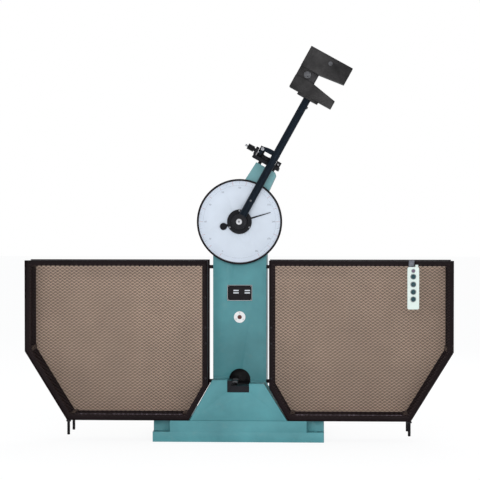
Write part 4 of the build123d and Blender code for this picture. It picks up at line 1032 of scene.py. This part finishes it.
def expanded_sheet(width, height, sizes, thick=0.0012):
    """Expanded metal from the origin to width and height, one diamond drawn and repeated."""
    strand = sizes.strand_width
    reach = sizes.mesh_height / 2 - strand
    waves = []
    for turn in (1, -1):
        clear_choice()
        bpy.ops.mesh.primitive_cube_add(size=1)
        wave = bpy.context.object
        wave.scale = (sizes.mesh_width, thick, strand)
        settle(wave)
        pick(wave, lambda face: abs(face.normal.x) > 0.9)
        bpy.ops.mesh.delete(type="ONLY_FACE")
        bpy.ops.mesh.select_mode(type="VERT")
        bpy.ops.mesh.select_all(action="SELECT")
        bpy.ops.mesh.bisect(plane_co=(0, 0, 0), plane_no=(1, 0, 0))
        bpy.ops.transform.translate(value=(0, 0, turn * reach))
        bpy.ops.mesh.select_all(action="SELECT")
        foot = strand / 2 if turn > 0 else sizes.mesh_height - strand / 2
        bpy.ops.transform.translate(value=(0, 0, foot))
        bpy.ops.object.mode_set(mode="OBJECT")
        waves.append(wave)
    sheet = join(waves)
    carry_out(
        sheet, "ARRAY", count=math.ceil(width / sizes.mesh_width) + 2, use_relative_offset=False,
        use_constant_offset=True, constant_offset_displace=(sizes.mesh_width, 0, 0),
        use_merge_vertices=True, merge_threshold=0.00001)
    carry_out(
        sheet, "ARRAY", count=math.ceil(height / sizes.mesh_height) + 1,
        use_relative_offset=False, use_constant_offset=True,
        constant_offset_displace=(0, 0, sizes.mesh_height))
    return sheet


def upright_panel(side, sizes):
    """Mesh behind the six-sided window of a guard."""
    sheet = expanded_sheet(GUARD_WIDTH, GUARD_HEIGHT, sizes)
    sheet.data.transform(Matrix.Translation((GUARD_INNER, FRONT_MESH, GUARD_FOOT)))
    trim_to_outline(sheet, FRONT_MESH)
    if side < 0:
        mirror_across(sheet)
    return sheet


def side_panel(side, start, end, sizes):
    """Mesh on the end or the slope of a guard, between its front and back frames."""
    foot = Vector((side * start[0], END_MESH, start[1]))
    head = Vector((side * end[0], END_MESH, end[1]))
    run = head - foot
    inward = run.normalized().cross(Vector((0, side, 0)))
    if inward.x * side > 0:
        inward = -inward
    height = run.length - 2 * END_GAP
    sheet = expanded_sheet(END_WIDTH, height, sizes, thick=0.0045)
    cut_away(sheet, (END_WIDTH, 0, 0), (1, 0, 0))
    cut_away(sheet, (0, 0, 0), (-1, 0, 0))
    cut_away(sheet, (0, 0, height), (0, 0, 1))
    across = Vector((0, 1, 0))
    up = run.normalized()
    depth = up.cross(across)
    place = foot + inward * 0.004 + up * END_GAP - across * END_WIDTH / 2
    turn = Matrix.Translation(place) @ Matrix((across, depth, up)).transposed().to_4x4()
    sheet.data.transform(turn)
    return sheet


def back_sheet(side):
    """The plain sheet that closes the back of a guard, faintly wavy."""
    clear_choice()
    bpy.ops.mesh.primitive_grid_add(x_subdivisions=36, y_subdivisions=32, size=1)
    sheet = bpy.context.object
    middle = (GUARD_INNER + GUARD_WIDTH / 2, BACK_SHEET, GUARD_FOOT + GUARD_HEIGHT / 2)
    sheet.data.transform(
        Matrix.Translation(middle) @ Matrix.Rotation(math.pi / 2, 4, "X")
        @ Matrix.Diagonal((GUARD_WIDTH, GUARD_HEIGHT, 1, 1)))
    for corner in sheet.data.vertices:
        across = math.sin(17.0 * corner.co.x + 5.0 * corner.co.z)
        corner.co.y += 0.0004 * across * math.sin(13.0 * corner.co.z)
    trim_to_outline(sheet, BACK_SHEET)
    carry_out(sheet, "SOLIDIFY", thickness=0.0012, offset=0)
    if side < 0:
        mirror_across(sheet)
    return smooth(sheet)


def mirror_across(piece):
    """Mirrors a piece to the other side of the machine, faces still outwards."""
    piece.data.transform(Matrix.Scale(-1, 4, Vector((1, 0, 0))))
    with editing(piece):
        bpy.ops.mesh.flip_normals()


class TESTER_OT_guard_frames(bpy.types.Operator):
    """Finish the angle frames, their bolts, lugs and threaded legs"""

    bl_idname = "tester.guard_frames"
    bl_label = "Guard frames"

    def execute(self, context):
        edge = context.scene.tester_sizes.machined_edge
        for side in ("left", "right"):
            soften("guard_frame_" + side, edge, whole_faces=False)
        soften("guard_lugs", edge)
        bolts = []
        for low, high in islands("guard_bolts"):
            middle = ((low.x + high.x) / 2, high.y, (low.z + high.z) / 2)
            bolts += hex_head(middle, FRONT, radius=0.0046, height=0.0050, spin=0.4, washer=1.08)
        fit(bolts, "guard_bolt_heads", "bright_steel", "iron_ring", ("guard_bolts",))
        pitch = context.scene.tester_sizes.thread_pitch
        legs = []
        for low, high in islands("guard_legs"):
            middle = ((low.x + high.x) / 2, (low.y + high.y) / 2)
            legs += self.leg(middle, low.z, high.z, pitch)
        fit(legs, "guard_leg_screws", "bright_steel", "iron_ring", ("guard_legs",))
        return {"FINISHED"}

    def leg(self, middle, foot, top, pitch):
        """A threaded leg with its locknut under the frame."""
        nut_height, chamfer, crest, root = 0.008, 0.0012, 0.0070, 0.0060
        profile = [(0.0052, 0), (0.0064, chamfer)]
        height = chamfer
        while height + pitch < top - foot - nut_height:
            profile += [(crest, height + pitch * 0.3), (root, height + pitch * 0.8)]
            height += pitch
        profile.append((0.0062, top - foot))
        rod = turned(profile, (*middle, foot), UP, 18)
        nut = turned([(0.0096, 0), (0.0119, 0.0012), (0.0119, 0.0067), (0.0104, 0.0079)],
                     (*middle, top - nut_height), UP, 6, 0.3)
        return [rod, nut]


class TESTER_OT_guard_mesh(bpy.types.Operator):
    """Stretch the expanded mesh behind every window of the guards"""

    bl_idname = "tester.guard_mesh"
    bl_label = "Guard mesh"

    def execute(self, context):
        sizes = context.scene.tester_sizes
        for side, word in ((-1, "left"), (1, "right")):
            node = ("guard_mesh_" + word,)
            fit([upright_panel(side, sizes)], "mesh_front_" + word, "guard_brown", "mesh_brown",
                node)
            fit([back_sheet(side)], "back_sheet_" + word, "guard_brown", "sheet_brown", node)
            ends = [side_panel(side, start, end, sizes)
                    for start, end in zip(GUARD_OUTLINE[2:4], GUARD_OUTLINE[3:5])]
            fit(ends, "mesh_ends_" + word, "guard_brown", "mesh_brown", node)
            fit(self.tray(side), "guard_tray_" + word, "guard_brown", "tray_brown", node)
        return {"FINISHED"}

    def tray(self, side):
        """The floor of a guard, with a lip along its front and its back."""
        left, right = sorted((side * 0.233, side * 0.789))
        front, back, lip = -0.273, -0.123, 0.0016
        pieces = [block((left, front, 0.0982), (right, back, 0.0998), 0.0004)]
        for y in (front + 0.0002, back - 0.0002 - lip):
            pieces.append(block((left, y, 0.0995), (right, y + lip, 0.108), 0.0004))
        return pieces


class TESTER_OT_hand_control(bpy.types.Operator):
    """Finish the hand control that hangs on the right guard"""

    bl_idname = "tester.hand_control"
    bl_label = "Hand control"

    def execute(self, context):
        edge = context.scene.tester_sizes.machined_edge
        soften("pendant_case", edge * 1.5, 3)
        soften("pendant_strip", edge * 0.5)
        soften("pendant_lamp", edge * 1.6, 3)
        buttons = [f"pendant_button_{number}" for number in range(1, 5)]
        for button in buttons:
            soften(button, edge * 1.4, 3)
        case_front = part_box("pendant_case")[0][1]
        rings = [(button, 0.0107, 0.0131, 0.0010) for button in buttons]
        rings.append(("pendant_lamp", 0.0073, 0.0092, 0.0012))
        bezels = []
        for node, inner, outer, height in rings:
            low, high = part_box(node)
            middle = ((low[0] + high[0]) / 2, case_front, (low[2] + high[2]) / 2)
            bezels.append(self.bezel(middle, inner, outer, height))
        fit(bezels, "button_bezels", "strip_zinc")
        return {"FINISHED"}

    def bezel(self, middle, inner, outer, height):
        """A rounded ring round a button or lamp."""
        clear_choice()
        bpy.ops.mesh.primitive_torus_add(
            major_segments=36, minor_segments=10, major_radius=(inner + outer) / 2,
            minor_radius=(outer - inner) / 2)
        ring = bpy.context.object
        ring.data.transform(
            Matrix.Translation(middle) @ facing(FRONT)
            @ Matrix.Diagonal((1, 1, height / (outer - inner), 1)))
        return smooth(ring, 60)


class TESTER_OT_stage(bpy.types.Operator):
    """Set out the floor, the lamps and the camera"""

    bl_idname = "tester.stage"
    bl_label = "Stage"

    def execute(self, context):
        clear_choice()
        bpy.ops.mesh.primitive_plane_add(size=60, location=(0, 0, 0))
        floor = settle(bpy.context.object)
        floor.name = "floor"
        floor.data.materials.append(self.floor_finish())
        for name, place, aim, size, power in LAMPS:
            bpy.ops.object.light_add(type="AREA", location=place)
            lamp = bpy.context.object
            lamp.name = name
            lamp.data.energy = power
            lamp.data.size = size
            # The front lamps would leave bright streaks on the enamel.
            lamp.visible_glossy = name == "back_lamp"
            self.point(lamp, aim)
        self.set_world(context)
        bpy.ops.object.camera_add(location=CAMERA_PLACE)
        camera = bpy.context.object
        camera.name = "front_camera"
        camera.data.lens = CAMERA_LENS
        camera.data.sensor_width = 36
        camera.data.clip_end = 200
        self.point(camera, CAMERA_AIM)
        context.scene.camera = camera
        context.scene.view_settings.view_transform = "Standard"
        return {"FINISHED"}

    def point(self, thing, aim):
        """Turns a lamp or the camera towards a point."""
        way = Vector(aim) - thing.location
        thing.rotation_euler = way.to_track_quat("-Z", "Y").to_euler()

    def floor_finish(self):
        """A white floor that keeps the object's soft shadow."""
        skin = Finish("floor_white")
        rays = skin.node("ShaderNodeLightPath", {}, {}, "Is Camera Ray")
        seen = skin.node("ShaderNodeEmission", {}, {"Color": (1, 1, 1, 1), "Strength": 1.1})
        diffuse = skin.node("ShaderNodeBsdfDiffuse", {}, {"Color": (0.9, 0.9, 0.9, 1)})
        blend = skin.node("ShaderNodeMixShader", {}, {0: rays * 0.8, 1: diffuse, 2: seen})
        skin.feed(skin.tree.nodes["Material Output"].inputs["Surface"], blend)
        return skin.material

    def set_world(self, context):
        """A pale room: white to the camera, and dimmer and bluish as a light and in reflections."""
        world = bpy.data.worlds.new("pale_room")
        world.use_nodes = True
        tree = world.node_tree
        tree.nodes.clear()
        output = tree.nodes.new("ShaderNodeOutputWorld")
        blend = tree.nodes.new("ShaderNodeMixShader")
        light = tree.nodes.new("ShaderNodeBackground")
        light.inputs["Color"].default_value = (0.93, 0.96, 1.0, 1)
        light.inputs["Strength"].default_value = 0.55
        seen = tree.nodes.new("ShaderNodeBackground")
        seen.inputs["Color"].default_value = (1, 1, 1, 1)
        rays = tree.nodes.new("ShaderNodeLightPath")
        tree.links.new(rays.outputs["Is Camera Ray"], blend.inputs[0])
        tree.links.new(light.outputs[0], blend.inputs[1])
        tree.links.new(seen.outputs[0], blend.inputs[2])
        tree.links.new(blend.outputs[0], output.inputs["Surface"])
        context.scene.world = world


STEPS = (
    TESTER_OT_finishes,
    TESTER_OT_castings,
    TESTER_OT_anvils,
    TESTER_OT_dial,
    TESTER_OT_screws,
    TESTER_OT_plates,
    TESTER_OT_pendulum,
    TESTER_OT_release,
    TESTER_OT_drive,
    TESTER_OT_guard_frames,
    TESTER_OT_guard_mesh,
    TESTER_OT_hand_control,
    TESTER_OT_stage,
)


class TESTER_PT_panel(bpy.types.Panel):
    """The tester's sizes, colours and building steps"""

    bl_idname = "TESTER_PT_panel"
    bl_label = "Impact tester"
    bl_space_type = "VIEW_3D"
    bl_region_type = "UI"
    bl_category = "Impact tester"

    def draw(self, context):
        column = self.layout.column()
        for size in TesterSizes.__annotations__:
            column.prop(context.scene.tester_sizes, size)
        for colour in TesterColours.__annotations__:
            column.prop(context.scene.tester_colours, colour)
        for step in STEPS:
            column.operator(step.bl_idname)


CLASSES = (TesterSizes, TesterColours) + STEPS + (TESTER_PT_panel,)


def register():
    for part in CLASSES:
        bpy.utils.register_class(part)
    bpy.types.Scene.tester_sizes = bpy.props.PointerProperty(type=TesterSizes)
    bpy.types.Scene.tester_colours = bpy.props.PointerProperty(type=TesterColours)


def unregister():
    del bpy.types.Scene.tester_colours
    del bpy.types.Scene.tester_sizes
    for part in reversed(CLASSES):
        bpy.utils.unregister_class(part)


def main():
    """Builds the finished tester."""
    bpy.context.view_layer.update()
    register()
    bpy.ops.tester.finishes()
    bpy.ops.tester.castings()
    bpy.ops.tester.anvils()
    bpy.ops.tester.dial()
    bpy.ops.tester.screws()
    bpy.ops.tester.plates()
    bpy.ops.tester.pendulum()
    bpy.ops.tester.release()
    bpy.ops.tester.drive()
    bpy.ops.tester.guard_frames()
    bpy.ops.tester.guard_mesh()
    bpy.ops.tester.hand_control()
    bpy.ops.tester.stage()
    clear_choice()


if __name__ == "__main__":
    main()
